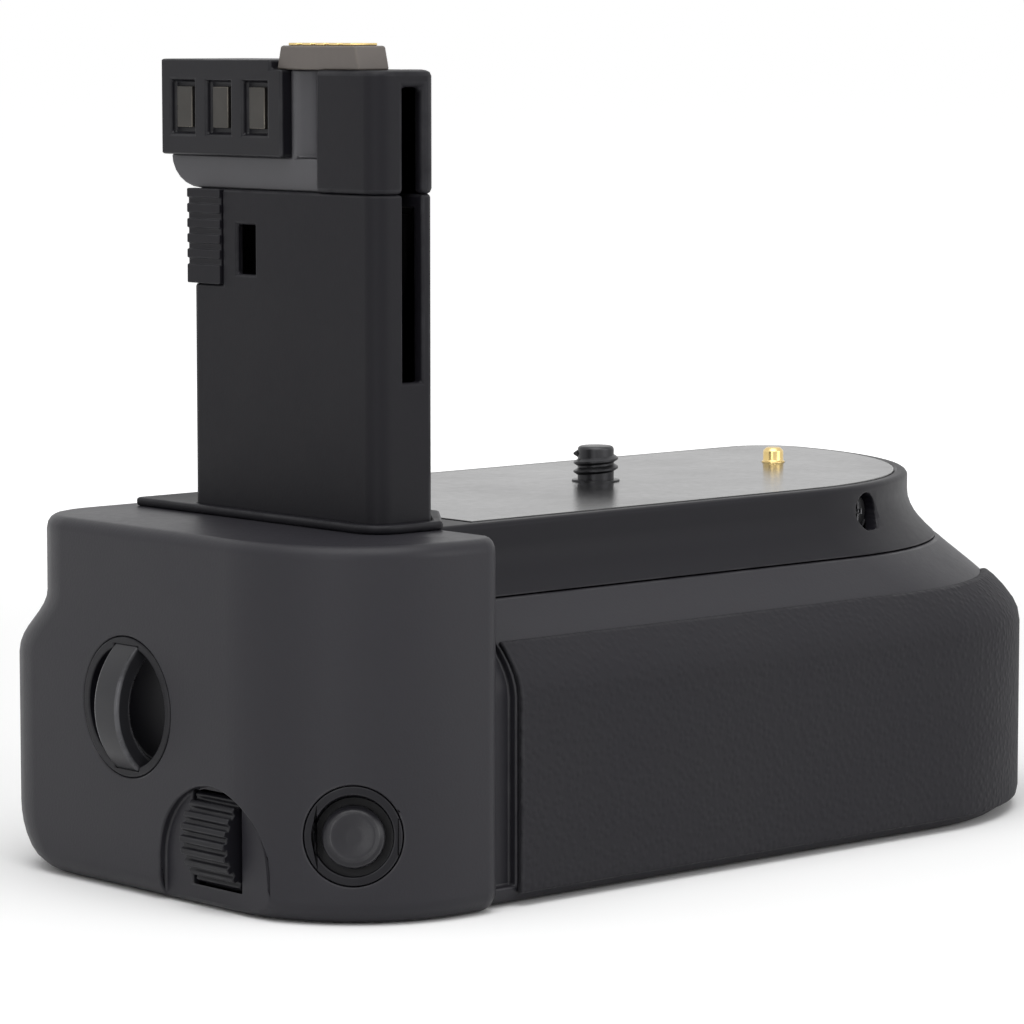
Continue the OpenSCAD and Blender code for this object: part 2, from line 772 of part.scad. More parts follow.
module tripod_plate() color(steel) {
    difference() {
        linear_extrude(tripod_plate_t) difference() {
            square(2 * tripod_half, center = true);
            circle(r = bush_r + fit / 2);
        }
        for (p = plate_screws)
            translate([p.x, p.y, -1]) {
                cylinder(r = case_screw_r + run_gap, h = over);
                cylinder(r = case_head_r + run_gap, h = 1 + case_head_t);
            }
    }
}

module tripod_bush() color(steel) {
    difference() {
        union() {
            cylinder(r = bush_r, h = bush_h);
            translate([0, 0, wall]) cylinder(r = bush_r + 2, h = 1.5);
        }
        translate([0, 0, -1]) cylinder(r = socket_r, h = socket_depth + 1);
    }
}

chassis_x1 = tray_x1 - 5;
chassis_cut = 18;
module chassis_plate() color(steel) {
    y0 = -front_reach + 6.5;
    y1 = back_reach - 3.2;
    x0 = left_x + 3.5;
    difference() {
        translate([0, 0, chassis_z]) linear_extrude(chassis_t)
            polygon([[x0, y0], [chassis_x1 - chassis_cut, y0], [chassis_x1, y0 + chassis_cut],
                [chassis_x1, y1], [x0, y1]]);
        for (p = chassis_posts)
            translate([p.x, p.y, chassis_z - 1]) cylinder(r = chassis_screw_r + run_gap, h = over);
    }
}

module chassis_screws() color(steel) {
    for (p = chassis_posts)
        translate([p.x, p.y, 0]) {
            translate([0, 0, chassis_top]) cylinder(r = 2.2, h = 1.4);
            translate([0, 0, chassis_top - 9]) cylinder(r = chassis_screw_r, h = 9 + eps);
        }
}

module case_screws() color(steel) {
    for (b = grip_bosses)
        translate([0, b.x, b.y]) {
            bar_x(grip_right - case_head_t, grip_right - 0.1, case_head_r);
            bar_x(grip_right - bulkhead_t - boss_len + 1.5, grip_right - case_head_t + eps, case_screw_r);
        }
    for (p = plate_screws)
        translate([p.x, p.y, 0]) {
            translate([0, 0, 0.1]) cylinder(r = case_head_r, h = case_head_t - 0.1);
            translate([0, 0, case_head_t - eps]) cylinder(r = case_screw_r, h = 3);
        }
}

rail_spread = 12.7;
module tray_rails() color(deep_black) {
    for (y = [tray_y - rail_spread, tray_y + rail_spread])
        span([left_x + 2, y - rail_w / 2, wall], [cap_x0 - 5, y + rail_w / 2, tray_z - fit]);
}

// Stem
side_low = platform_z + 5;
side_y0 = stem_y0 + stem_cut_y + 2;
side_y1 = stem_y1 - 3;
side_top = column_top - 4;
side_lip = 1;
side_lip_t = 0.8;
catch_low = column_top - 12.5;
catch_d = 6.5;
catch_sink = 1.1;
catch_proud = 0.4;
spring_slot_y = [stem_y1 - 13.4, stem_y1 - 9.6];
spring_slot_z = [column_top - 11, column_top - 4.5];
foot_rim = 2;
module stem_column() color(deep_black) {
    difference() {
        union() {
            translate([0, 0, platform_z]) linear_extrude(column_top - platform_z) polygon(stem_outline(0));
            span([neck_x[0], neck_y[0], stem_foot_z], [neck_x[1], neck_y[1], platform_z + eps]);
            span([neck_x[0] - foot_rim, neck_y[0] - foot_rim, stem_foot_z],
                [neck_x[1] + foot_rim, neck_y[1] + foot_rim, stem_foot_z + stem_foot_t]);
        }
        translate([0, 0, platform_z + stem_wall]) linear_extrude(column_top - platform_z - 2 * stem_wall)
            polygon(stem_outline(-stem_wall));
        span([neck_x[0] + stem_wall, neck_y[0] + stem_wall, stem_foot_z - 1],
            [neck_x[1] - stem_wall, neck_y[1] - stem_wall, platform_z + stem_wall + eps]);
        span([key_x, stem_y0 - 1, key_low], [key_x + key_w, stem_y0 + key_depth, column_top + 1]);
        span([stem_x1 - stem_wall - 0.5, side_y0, side_low], [stem_x1 + 1, side_y1, side_top]);
        catch_box(run_gap);
        span([stem_x0 - 1, spring_slot_y[0], spring_slot_z[0]],
            [stem_x0 + stem_wall, spring_slot_y[1], spring_slot_z[1]]);
    }
}

module stem_side_cover() color(deep_black) {
    span([stem_x1 - stem_wall, side_y0 + fit, side_low + fit],
        [stem_x1, side_y1 - fit, side_top - fit]);
    span([stem_x1 - stem_wall - side_lip_t, side_y0 - side_lip, side_low - side_lip],
        [stem_x1 - stem_wall, side_y1 + side_lip, side_top + side_lip]);
}

// Space of the catch on the back outer edge of the stem, grown by gap
module catch_box(gap) {
    span([stem_x0 - catch_proud - gap, stem_y1 - catch_d - gap, catch_low - gap],
        [stem_x0 + catch_sink + gap, stem_y1 + catch_proud + gap, column_top + gap]);
}

module stem_catch() color(deep_black) {
    difference() {
        catch_box(0);
        span([stem_x0 + catch_sink - eps, stem_y1 - catch_d - 1, 0], [0, stem_y1 - eps, head_top]);
        for (z = [catch_low + 2.5 : 2 : column_top - 2])
            span([stem_x0 - 2, stem_y1 - catch_d - 1, z],
                [stem_x0 - catch_proud + 0.3, stem_y1 + 2, z + 0.8]);
    }
}

module stem_head() color(deep_black) {
    difference() {
        translate([0, 0, column_top]) linear_extrude(head_top - column_top) intersection() {
            polygon(stem_outline(head_proud));
            translate([stem_x0 - over, stem_y0 - over]) square([stem_w + 2 * over, head_d + over]);
        }
        translate([0, 0, column_top - 1])
            linear_extrude(head_top - column_top - stem_wall + 1) intersection() {
            polygon(stem_outline(-stem_wall));
            translate([stem_x0 - over, stem_y0 - over])
                square([stem_w + 2 * over, head_d + over - stem_wall]);
        }
        span([key_x, stem_y0 - 2, column_top - 1], [key_x + key_w, stem_y0 + key_depth, head_top - 2.1]);
    }
}

carrier_nose = 6;
carrier_inset = 1.2;
cove_r = 3.4;
cove_depth = 1.1;
// Runs under the terminal block and rounds up to the block's back
module terminal_carrier() color(light_grey) {
    x0 = stem_x0 + carrier_inset;
    nose_h = block_low - column_top;
    difference() {
        translate([x0, 0, 0]) rotate([90, 0, 90]) linear_extrude(stem_w - 2 * carrier_inset)
            polygon(concat([[head_y1, column_top]],
                [for (i = [0 : small_steps]) let (a = 90 * i / small_steps)
                    [block_y1 - carrier_nose * (1 - sin(a)), column_top + nose_h * (1 - cos(a))]],
                [[carrier_y1, block_low], [carrier_y1, head_top], [head_y1, head_top]]));
        translate([x0 - cove_r + cove_depth, (head_y1 + carrier_y1) / 2, block_low])
            cylinder(r = cove_r, h = head_top);
    }
}

block_proud = 0.4;
block_short = 2;
window_sink = 1;
window_w = 5;
window_pitch = 7.6;
window_in = 3;
window_rim = 2.8;
contact_side = 0.9;
contact_rim = 3.6;
contact_t = 0.6;
window_y = [for (i = [0 : 2]) carrier_y1 + window_in + i * window_pitch];
module terminal_block() color(deep_black) {
    difference() {
        span([stem_x0 - block_proud, carrier_y1, block_low], [stem_x1 - block_short, block_y1, block_top]);
        for (y = window_y)
            span([stem_x0 - over, y, block_low + window_rim],
                [stem_x0 - block_proud + window_sink, y + window_w, block_top - window_rim]);
        span([stem_x0 - over, carrier_y1 - 1, head_top], [stem_x1, contact_y[1] + fit, block_top + 1]);
    }
}

module terminal_contacts() color(steel) {
    for (y = window_y)
        span([stem_x0 - block_proud + window_sink - contact_t, y + contact_side, block_low + contact_rim],
            [stem_x0 - block_proud + window_sink, y + window_w - contact_side, block_top - contact_rim]);
}

contact_x = [stem_x0 + 0.5, stem_x0 + 5.7];
contact_y = [stem_y0 + 4, carrier_y1 + 2];
pin_count = 5;
pin_w = 1.8;
pin_h = 0.35;
module contact_block() color([0.33, 0.29, 0.25]) {
    translate([contact_x[0], 0, 0]) rotate([90, 0, 90]) linear_extrude(contact_x[1] - contact_x[0])
        polygon([[contact_y[0], head_top], [contact_y[1], head_top],
            [contact_y[1] - 0.8, head_top + contact_h],
            [contact_y[0] + 0.8, head_top + contact_h]]);
}

module contact_pins() color(gold) {
    pitch = (contact_y[1] - contact_y[0] - 3) / pin_count;
    for (i = [0 : pin_count - 1]) {
        y = contact_y[0] + 1.5 + (i + 0.5) * pitch;
        span([contact_x[0] + 0.4, y - pin_w / 2, head_top + contact_h],
            [contact_x[1] - 0.4, y + pin_w / 2, head_top + contact_h + pin_h]);
    }
}

module stem_collar() color(deep_black) {
    translate([0, 0, platform_z]) linear_extrude(collar_h) difference() {
        union() {
            polygon(stem_outline(collar_rim));
            translate([stem_x0 - collar_rim, stem_y1 - over]) square([stem_w - 1, collar_tail + over]);
        }
        polygon(stem_outline(fit / 2));
    }
}

// Board on the chassis and the ribbon up the stem
board_l = 29;
board_in = 11;
board_x = [left_x + board_in, left_x + board_in + board_l];
board_y = [-30, -8];
board_lift = 1.2;
board_t = 1.6;
board_z = chassis_top + board_lift;
chip = [5, 9, 1.1];
chip_x = [board_x[0] + 14, board_x[0] + 21];
chip_y = board_y[0] + 5;
ribbon_tail = 6;
ribbon_shift = 5;
ribbon_w = 8;
ribbon_t = 0.3;
ribbon_x = neck_x[1] - stem_wall - 1;
module main_board() color(board_green) {
    span([board_x[0], board_y[0], board_z], [board_x[1], board_y[1], board_z + board_t]);
    for (x = [board_x[0] + 3, board_x[1] - 3], y = [board_y[0] + 3, board_y[1] - 3])
        translate([x, y, chassis_top]) cylinder(r = 1.8, h = board_lift + eps);
    for (x = chip_x)
        span([x, chip_y, board_z + board_t - eps], [x + chip.x, chip_y + chip.y, board_z + board_t + chip.z]);
}

module stem_ribbon() color([0.55, 0.4, 0.2]) {
    y = (board_y[0] + board_y[1]) / 2 + ribbon_shift;
    span([ribbon_x, y, board_z + board_t],
        [board_x[0] + ribbon_tail, y + ribbon_w, board_z + board_t + ribbon_t]);
    span([ribbon_x, y, board_z + board_t], [ribbon_x + ribbon_t, y + ribbon_w, column_top - stem_wall - 0.2]);
}

module body_contacts() color(gold) {
    for (dy = contact_rows)
        span([grip_right, tray_y + dy - contact_pad.x / 2, lock_z - contact_pad.y / 2],
            [tray_x0 - fit, tray_y + dy + contact_pad.x / 2, lock_z + contact_pad.y / 2]);
}

// Mounting drive
module screw_bearing() color(steel) {
    translate([0, 0, chassis_top]) difference() {
        cylinder(r = journal_r + 2.5, h = gear_z - chassis_top - fit);
        translate([0, 0, -1]) cylinder(r = journal_r + run_gap, h = over);
    }
}

screw_tip = 0.6;
module mounting_screw() color(steel) {
    translate([0, 0, chassis_top + fit]) cylinder(r = journal_r, h = gear_z - chassis_top);
    translate([0, 0, gear_z - fit / 2]) cylinder(r = seat_r, h = ceiling_z - 1 - gear_z);
    translate([0, 0, ceiling_z - fit - flange_t]) cylinder(r = flange_r, h = flange_t);
    translate([0, 0, ceiling_z - 1]) cylinder(r = screw_r + shank_extra, h = deck_top + fit - ceiling_z + 1);
    translate([0, 0, deck_top]) cylinder(r = screw_r, h = screw_len - screw_tip);
    translate([0, 0, deck_top + screw_len - screw_tip])
        cylinder(r1 = screw_r, r2 = screw_r - screw_tip, h = screw_tip);
}

module screw_gear() color(steel) {
    translate([0, 0, gear_z]) linear_extrude(gear_w) difference() {
        rotate(90) gear_outline(screw_teeth, 0.5);
        circle(r = seat_r + eps);
    }
}

module thumbwheel() color(deep_black) {
    translate([0, gear_centres, wheel_z]) linear_extrude(wheel_t) difference() {
        notched(wheel_r, wheel_notches, 0.5);
        circle(r = wheel_axle_r + run_gap);
    }
}

module wheel_gear() color(steel) {
    translate([0, gear_centres, gear_z]) difference() {
        union() {
            linear_extrude(gear_w) rotate(-90) gear_outline(wheel_teeth, 0);
            translate([0, 0, gear_w - eps]) cylinder(r = 3.6, h = wheel_z - gear_z - gear_w + eps);
        }
        translate([0, 0, -1]) cylinder(r = wheel_axle_r + run_gap, h = over);
    }
}

module wheel_axle() color(steel) {
    translate([0, gear_centres, chassis_top]) {
        cylinder(r = wheel_axle_r + 1.4, h = gear_z - chassis_top - fit);
        cylinder(r = wheel_axle_r, h = ceiling_z - chassis_top - 0.1);
    }
}

locator_tip = 0.5;
module locating_pin() color(gold) {
    translate([locator_x, locator_y, 0]) {
        translate([0, 0, ceiling_z - 1.4]) cylinder(r = locator_r + 1, h = 1.4);
        translate([0, 0, ceiling_z - 1])
            cylinder(r = locator_r + shank_extra, h = deck_top + fit - ceiling_z + 1);
        translate([0, 0, deck_top]) cylinder(r = locator_r, h = locator_h - locator_tip);
        translate([0, 0, deck_top + locator_h - locator_tip])
            cylinder(r1 = locator_r, r2 = locator_r - locator_tip, h = locator_tip);
    }
}

// Shutter release
module shutter_cup() color(deep_black) {
    intersection() {
        grip_solid();
        at_shutter() difference() {
            translate([0, 0, cup_end]) cylinder(r = shutter_cup_r, h = over - cup_end);
            translate([0, 0, cup_floor]) cylinder(r = shutter_cup_r - cup_wall, h = 2 * over);
            translate([0, 0, cup_end - 1]) cylinder(r = shutter_stem_r + run_gap, h = over);
            translate([0, 0, cup_end - 1])
                cylinder(r = shutter_cup_r - cup_wall, h = cup_floor - cup_partition - cup_end + 1);
        }
    }
}

module shutter_switch() color(steel) {
    at_shutter() translate([0, 0, cup_end]) cylinder(r = shutter_cup_r - cup_wall - run_gap, h = switch_t);
}

shutter_lift = press + 0.4;
module shutter_button() color(shell_black) {
    low = cup_end + switch_t + plunger_gap;
    cap_low = cup_floor + shutter_lift;
    cap_r = shutter_cup_r - cup_wall - 1.1;
    at_shutter() {
        translate([0, 0, low]) cylinder(r = shutter_stem_r, h = cap_low - low + 0.5);
        translate([0, 0, cap_low]) cylinder(r = cap_r, h = 1.4);
        translate([0, 0, cap_low + 1.4]) cylinder(r1 = cap_r, r2 = cap_r - 0.9, h = 0.6);
    }
}

// Command dial
module command_dial() color(rubber_black) {
    at_dial() rotate([90, 0, 0]) translate([0, 0, -dial_w / 2]) linear_extrude(dial_w) difference() {
        notched(dial_r, dial_notches, 0.6);
        circle(r = dial_axle_r + run_gap);
    }
}

module dial_axle() color(steel) {
    half = dial_w / 2 + dial_clear + cheek_t;
    at_dial() bar_y(-half, half, dial_axle_r);
}

module dial_bracket() color(steel) {
    y = dial_w / 2 + dial_clear;
    web_x = dial_r + dial_clear + 0.3;
    h = bracket_half;
    at_dial() difference() {
        union() {
            for (s = [-1, 1])
                span([-dial_axle_r - cheek_lip, s > 0 ? y : -y - cheek_t, -h],
                    [web_x + web_t, s > 0 ? y + cheek_t : -y, h]);
            span([web_x, -y - eps, -h], [web_x + web_t, y + eps, h]);
            span([web_x + web_t - eps, -bracket_arm / 2, -h],
                [grip_right - bulkhead_t - dial_x, bracket_arm / 2, h]);
        }
        bar_y(-over, over, dial_axle_r + eps);
    }
}

// Strap
module strap_cup() color(deep_black) {
    r = strap_recess_r + strap_cup_t;
    at_strap() difference() {
        union() {
            bar_x(0, strap_depth + strap_cup_t, r);
            bar_x(grip_wall + 0.1, grip_wall + 1.3, r + 1.8);
        }
        bar_x(-1, strap_depth, strap_recess_r);
        strap_arch(run_gap);
    }
}

module strap_bar() color(light_grey) {
    at_strap() strap_arch(0);
}

// Rear buttons and power lever
module rear_button(x) {
    translate([x, 0, rear_button_z]) {
        bar_y(rear_flange_y, rear_flange_y + rear_flange_t, rear_flange_r);
        bar_y(rear_flange_y + eps, bulge_back + 1, rear_button_r);
    }
}

module exposure_lock_button() color(rubber_black) {
    rear_button(rear_buttons[0]);
}

module focus_point_button() color(rubber_black) {
    rear_button(rear_buttons[1]);
}

module rear_board() color(board_green) {
    span([rear_buttons[0] - 4, rear_board_y - rear_board_t, rear_posts_z[0] - 2],
        [rear_buttons[1] + 3, rear_board_y, rear_posts_z[1] + 2]);
    for (x = rear_buttons)
        translate([x, 0, rear_button_z]) bar_y(rear_board_y - eps, rear_switch_y, 1.9);
}

module power_lever() color(rubber_black) {
    translate([lever_x, back_reach, lever_z]) {
        bar_y(0.3, 0.3 + lever_t, lever_r);
        bar_y(-wall - 1.6, 0.3 + eps, lever_shaft_r);
        bar_y(-wall - 1.6, -wall - 0.3, lever_shaft_r + 1.2);
        rounded_xz(-1.6, 1.6, 0, lever_r + 3, 0.3, 0.3 + lever_t, 1.4);
    }
}

// Battery tray
module battery_tray() color(shell_black) {
    bay = pack_l + 2 * fit;
    difference() {
        union() {
            span([tray_x0, tray_y0, tray_z], [tray_x1, tray_y1, tray_top]);
            for (y = [tray_y0, tray_y1 - tray_wall])
                span([tray_x1 - eps, y, tray_z + 2], [cap_x0, y + tray_wall, tray_top - 2]);
        }
        for (x = [bay_x0, bay_x0 + bay + tray_divider])
            span([x, tray_y0 + tray_wall, tray_z + tray_floor_t],
                [x + bay, tray_y1 - tray_wall, tray_top + 1]);
        for (dy = contact_rows)
            span([tray_x0 - 1, tray_y + dy - contact_pad.x / 2 - run_gap,
                lock_z - contact_pad.y / 2 - run_gap],
                [bay_x0 + 1, tray_y + dy + contact_pad.x / 2 + run_gap,
                    lock_z + contact_pad.y / 2 + run_gap]);
    }
}

module tray_contacts() color(gold) {
    for (dy = contact_rows)
        span([tray_x0, tray_y + dy - contact_pad.x / 2, lock_z - contact_pad.y / 2],
            [bay_x0, tray_y + dy + contact_pad.x / 2, lock_z + contact_pad.y / 2]);
}

// Battery pack with rounded long edges, its inner end at x
module battery_pack(x) {
    r = 3;
    y0 = tray_y - pack_w / 2;
    y1 = tray_y + pack_w / 2;
    z1 = pack_z + pack_h;
    translate([x, 0, 0]) rotate([90, 0, 90]) linear_extrude(pack_l)
        polygon(concat([[y0, pack_z], [y1, pack_z]], arc([y1 - r, z1 - r], r, 0, 90, small_steps),
            arc([y0 + r, z1 - r], r, 90, 180, small_steps)));
}

module battery_inner() color([0.2, 0.2, 0.22]) {
    battery_pack(bay_x0 + fit);
}

module battery_outer() color([0.2, 0.2, 0.22]) {
    battery_pack(bay_x0 + pack_l + 3 * fit + tray_divider);
}

lock_shaft_r = 2.5;
module at_lock() {
    translate([0, tray_y, lock_z]) children();
}

module tray_end_cap() color(shell_black) {
    difference() {
        intersection() {
            housing_solid(0);
            span([cap_x0, tray_y0, tray_z], [far_reach + 1, tray_y1, bay_top - tray_gap]);
        }
        at_lock() {
            bar_x(far_reach - knob_depth, far_reach + 1, knob_r + 0.4);
            bar_x(0, far_reach + 1, lock_shaft_r + run_gap);
        }
    }
}

module tray_lock_knob() color(deep_black) {
    at_lock() {
        bar_x(far_reach - knob_depth + fit, far_reach - fit, knob_r);
        bar_x(tray_x1 + fit, far_reach - knob_depth + 2 * fit, lock_shaft_r);
        span([far_reach - 2 * fit, -knob_r + 1, -1.2], [far_reach + 1.2, knob_r - 1, 1.2]);
    }
}

tongue_w = 5.6;
module tray_lock_tongue() color(steel) {
    at_lock() translate([tray_x1 + fit, 0, 0]) rotate([90, 0, 90]) linear_extrude(tongue_t) difference() {
        square([2 * tongue_half, tongue_w + 2 * run_gap], center = true);
        circle(r = lock_shaft_r + eps);
    }
}

main_housing();
top_cover();
platform_plate();
grip_end_cover();
bulkhead();
front_grip_pad();
rear_thumb_pad();
tripod_plate();
tripod_bush();
chassis_plate();
tray_rails();
stem_column();
stem_head();
stem_side_cover();
stem_collar();
terminal_carrier();
terminal_block();
terminal_contacts();
contact_block();
contact_pins();
stem_catch();
stem_ribbon();
main_board();
screw_bearing();
wheel_axle();
locating_pin();
skirt_screws();
shutter_cup();
shutter_switch();
dial_bracket();
dial_axle();
strap_cup();
strap_bar();
rear_board();
body_contacts();
chassis_screws();
case_screws();
mounting_screw();
screw_gear();
thumbwheel();
wheel_gear();
shutter_button();
command_dial();
exposure_lock_button();
focus_point_button();
power_lever();
battery_tray();
battery_inner();
battery_outer();
tray_contacts();
tray_end_cap();
tray_lock_knob();
tray_lock_tongue();
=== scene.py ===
import json
import math
import bmesh
import bpy
from mathutils import Euler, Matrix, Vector


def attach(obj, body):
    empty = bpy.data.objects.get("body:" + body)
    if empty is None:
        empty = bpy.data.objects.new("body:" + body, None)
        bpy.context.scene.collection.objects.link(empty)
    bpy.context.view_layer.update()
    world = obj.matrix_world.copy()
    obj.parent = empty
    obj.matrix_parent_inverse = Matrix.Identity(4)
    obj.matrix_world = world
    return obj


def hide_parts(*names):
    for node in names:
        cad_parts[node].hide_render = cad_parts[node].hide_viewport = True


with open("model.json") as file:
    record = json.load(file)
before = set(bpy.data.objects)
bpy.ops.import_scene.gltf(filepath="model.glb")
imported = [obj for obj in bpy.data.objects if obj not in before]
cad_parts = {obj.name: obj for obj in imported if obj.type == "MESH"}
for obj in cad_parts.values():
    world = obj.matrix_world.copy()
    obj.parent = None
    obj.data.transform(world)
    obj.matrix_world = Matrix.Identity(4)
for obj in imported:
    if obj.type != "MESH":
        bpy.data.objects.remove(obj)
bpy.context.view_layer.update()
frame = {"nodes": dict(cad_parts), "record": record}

mm = 0.001
record = frame["record"]
bodyOfNode = {n: b for b, names in record["behaviour"]["bodies"].items() for n in names}
slotOfNode = {s["node"]: s["material_slot"] for s in record["subparts"]}
print("frame loaded,", len(frame["nodes"]), "nodes")

# stage: white sweep, camera at the photo's place, soft light
cameraSetup = {"place": (-0.4355, -0.4659, 0.1122), "turn": 42.0, "down": 6.14, "lens": 158.6,
               "sensor": 36, "nearClip": 0.01}
stageLook = {"floorColour": (0.9, 0.9, 0.9, 1), "brightColour": (1.0, 1.0, 1.0, 1), "floorHeight": -0.1 * mm,
             "floorSize": 30, "farLift": 0.5, "nearRadius": 0.15, "farRadius": 0.6, "worldLight": 0.5}
lamps = [
    {"name": "overheadSoftbox", "place": (-0.25, -0.25, 0.95), "aim": (0, 0, 0.03), "size": (0.9, 0.9), "watts": 6.5},
    {"name": "leftSoftbox", "place": (-0.95, 0.15, 0.45), "aim": (0, 0, 0.04), "size": (0.6, 0.6), "watts": 0.15},
    {"name": "frontSoftbox", "place": (0.35, -0.95, 0.4), "aim": (0, 0, 0.05), "size": (0.6, 0.6), "watts": 2.2},
    {"name": "cornerStrip", "place": (-0.86, -0.52, 0.2), "aim": (-0.07, -0.03, 0.03), "size": (0.1, 0.8),
     "watts": 1.3},
]

cameraData = bpy.data.cameras.new("photoCamera")
cameraData.lens = cameraSetup["lens"]
cameraData.sensor_width = cameraSetup["sensor"]
cameraData.clip_start = cameraSetup["nearClip"]
photoCamera = bpy.data.objects.new("photoCamera", cameraData)
turn = math.radians(cameraSetup["turn"])
down = math.radians(cameraSetup["down"])
forward = Vector((math.sin(turn) * math.cos(down), math.cos(turn) * math.cos(down), -math.sin(down)))
photoCamera.location = cameraSetup["place"]
photoCamera.rotation_euler = forward.to_track_quat("-Z", "Y").to_euler()
bpy.context.scene.collection.objects.link(photoCamera)
bpy.context.scene.camera = photoCamera
bpy.context.scene.view_settings.view_transform = "Standard"


def link(tree, source, target):
    tree.links.new(source, target)


def whiteBehind(tree, plain, white):
    # camera, glossy and see-through rays meet the white background
    rays = tree.nodes.new("ShaderNodeLightPath")
    either = tree.nodes.new("ShaderNodeMath")
    either.operation = "MAXIMUM"
    link(tree, rays.outputs["Is Camera Ray"], either.inputs[0])
    link(tree, rays.outputs["Is Glossy Ray"], either.inputs[1])
    all3 = tree.nodes.new("ShaderNodeMath")
    all3.operation = "MAXIMUM"
    link(tree, either.outputs[0], all3.inputs[0])
    link(tree, rays.outputs["Is Transmission Ray"], all3.inputs[1])
    blend = tree.nodes.new("ShaderNodeMixShader")
    link(tree, all3.outputs[0], blend.inputs[0])
    link(tree, plain, blend.inputs[1])
    link(tree, white, blend.inputs[2])
    return blend.outputs[0]


world = bpy.data.worlds.new("studio")
bpy.context.scene.world = world
world.use_nodes = True
worldTree = world.node_tree
worldTree.nodes.clear()
softLight = worldTree.nodes.new("ShaderNodeBackground")
softLight.inputs["Color"].default_value = (1, 1, 1, 1)
softLight.inputs["Strength"].default_value = stageLook["worldLight"]
paperWhite = worldTree.nodes.new("ShaderNodeBackground")
paperWhite.inputs["Color"].default_value = (1, 1, 1, 1)
worldOut = worldTree.nodes.new("ShaderNodeOutputWorld")
link(worldTree, whiteBehind(worldTree, softLight.outputs[0], paperWhite.outputs[0]), worldOut.inputs[0])

for lamp in lamps:
    lampData = bpy.data.lights.new(lamp["name"], "AREA")
    lampData.shape = "RECTANGLE"
    lampData.size = lamp["size"][0]
    lampData.size_y = lamp["size"][1]
    lampData.energy = lamp["watts"]
    lampObject = bpy.data.objects.new(lamp["name"], lampData)
    lampObject.location = lamp["place"]
    aim = Vector(lamp["aim"]) - Vector(lamp["place"])
    lampObject.rotation_euler = aim.to_track_quat("-Z", "Y").to_euler()
    bpy.context.scene.collection.objects.link(lampObject)

floorMaterial = bpy.data.materials.new("paperSweep")
floorMaterial.use_nodes = True
floorTree = floorMaterial.node_tree
floorTree.nodes.clear()
floorPlain = floorTree.nodes.new("ShaderNodeBsdfDiffuse")
floorPlain.inputs["Color"].default_value = stageLook["floorColour"]
# the paper is seen brighter than it lights, and glows only away from the object, so its shadow stays
floorBright = floorTree.nodes.new("ShaderNodeBsdfDiffuse")
floorBright.inputs["Color"].default_value = stageLook["brightColour"]
floorGlow = floorTree.nodes.new("ShaderNodeEmission")
floorPlace = floorTree.nodes.new("ShaderNodeTexCoord")
floorReach = floorTree.nodes.new("ShaderNodeVectorMath")
floorReach.operation = "LENGTH"
floorLift = floorTree.nodes.new("ShaderNodeMapRange")
floorLift.interpolation_type = "SMOOTHSTEP"
floorLift.inputs["From Min"].default_value = stageLook["nearRadius"]
floorLift.inputs["From Max"].default_value = stageLook["farRadius"]
floorLift.inputs["To Min"].default_value = 0.0
floorLift.inputs["To Max"].default_value = stageLook["farLift"]
link(floorTree, floorPlace.outputs["Object"], floorReach.inputs[0])
link(floorTree, floorReach.outputs["Value"], floorLift.inputs["Value"])
link(floorTree, floorLift.outputs["Result"], floorGlow.inputs["Strength"])
floorSum = floorTree.nodes.new("ShaderNodeAddShader")
link(floorTree, floorBright.outputs[0], floorSum.inputs[0])
link(floorTree, floorGlow.outputs[0], floorSum.inputs[1])
# seen from below the paper is clear, so the underside can be looked at
floorSide = floorTree.nodes.new("ShaderNodeNewGeometry")
floorClear = floorTree.nodes.new("ShaderNodeBsdfTransparent")
floorBlend = floorTree.nodes.new("ShaderNodeMixShader")
floorOut = floorTree.nodes.new("ShaderNodeOutputMaterial")
link(floorTree, floorSide.outputs["Backfacing"], floorBlend.inputs[0])
link(floorTree, whiteBehind(floorTree, floorPlain.outputs[0], floorSum.outputs[0]), floorBlend.inputs[1])
link(floorTree, floorClear.outputs[0], floorBlend.inputs[2])
link(floorTree, floorBlend.outputs[0], floorOut.inputs[0])
floorBm = bmesh.new()
bmesh.ops.create_grid(floorBm, x_segments=1, y_segments=1, size=stageLook["floorSize"])
bmesh.ops.translate(floorBm, verts=floorBm.verts[:], vec=(0, 0, stageLook["floorHeight"]))
floorMesh = bpy.data.meshes.new("paperFloor")
floorBm.to_mesh(floorMesh)
floorBm.free()
floorMesh.materials.append(floorMaterial)
paperFloor = bpy.data.objects.new("paperFloor", floorMesh)
bpy.context.scene.collection.objects.link(paperFloor)
print("stage set")


# shared surface effects: a noise's middle range is spread over the whole tone
toneRange = (0.3, 0.7)


def newGroup(name, inputs, outputs):
    group = bpy.data.node_groups.new(name, "ShaderNodeTree")
    for label, kind, value in inputs:
        socket = group.interface.new_socket(name=label, in_out="INPUT", socket_type=kind)
        if value is not None:
            socket.default_value = value
    for label, kind in outputs:
        group.interface.new_socket(name=label, in_out="OUTPUT", socket_type=kind)
    return group, group.nodes.new("NodeGroupInput"), group.nodes.new("NodeGroupOutput")


def groupNoise(group, vector, scale, detail, rough=0.5):
    noise = group.nodes.new("ShaderNodeTexNoise")
    noise.inputs["Detail"].default_value = detail
    noise.inputs["Roughness"].default_value = rough
    link(group, vector, noise.inputs["Vector"])
    if isinstance(scale, (int, float)):
        noise.inputs["Scale"].default_value = scale
    else:
        link(group, scale, noise.inputs["Scale"])
    return noise.outputs["Fac"]


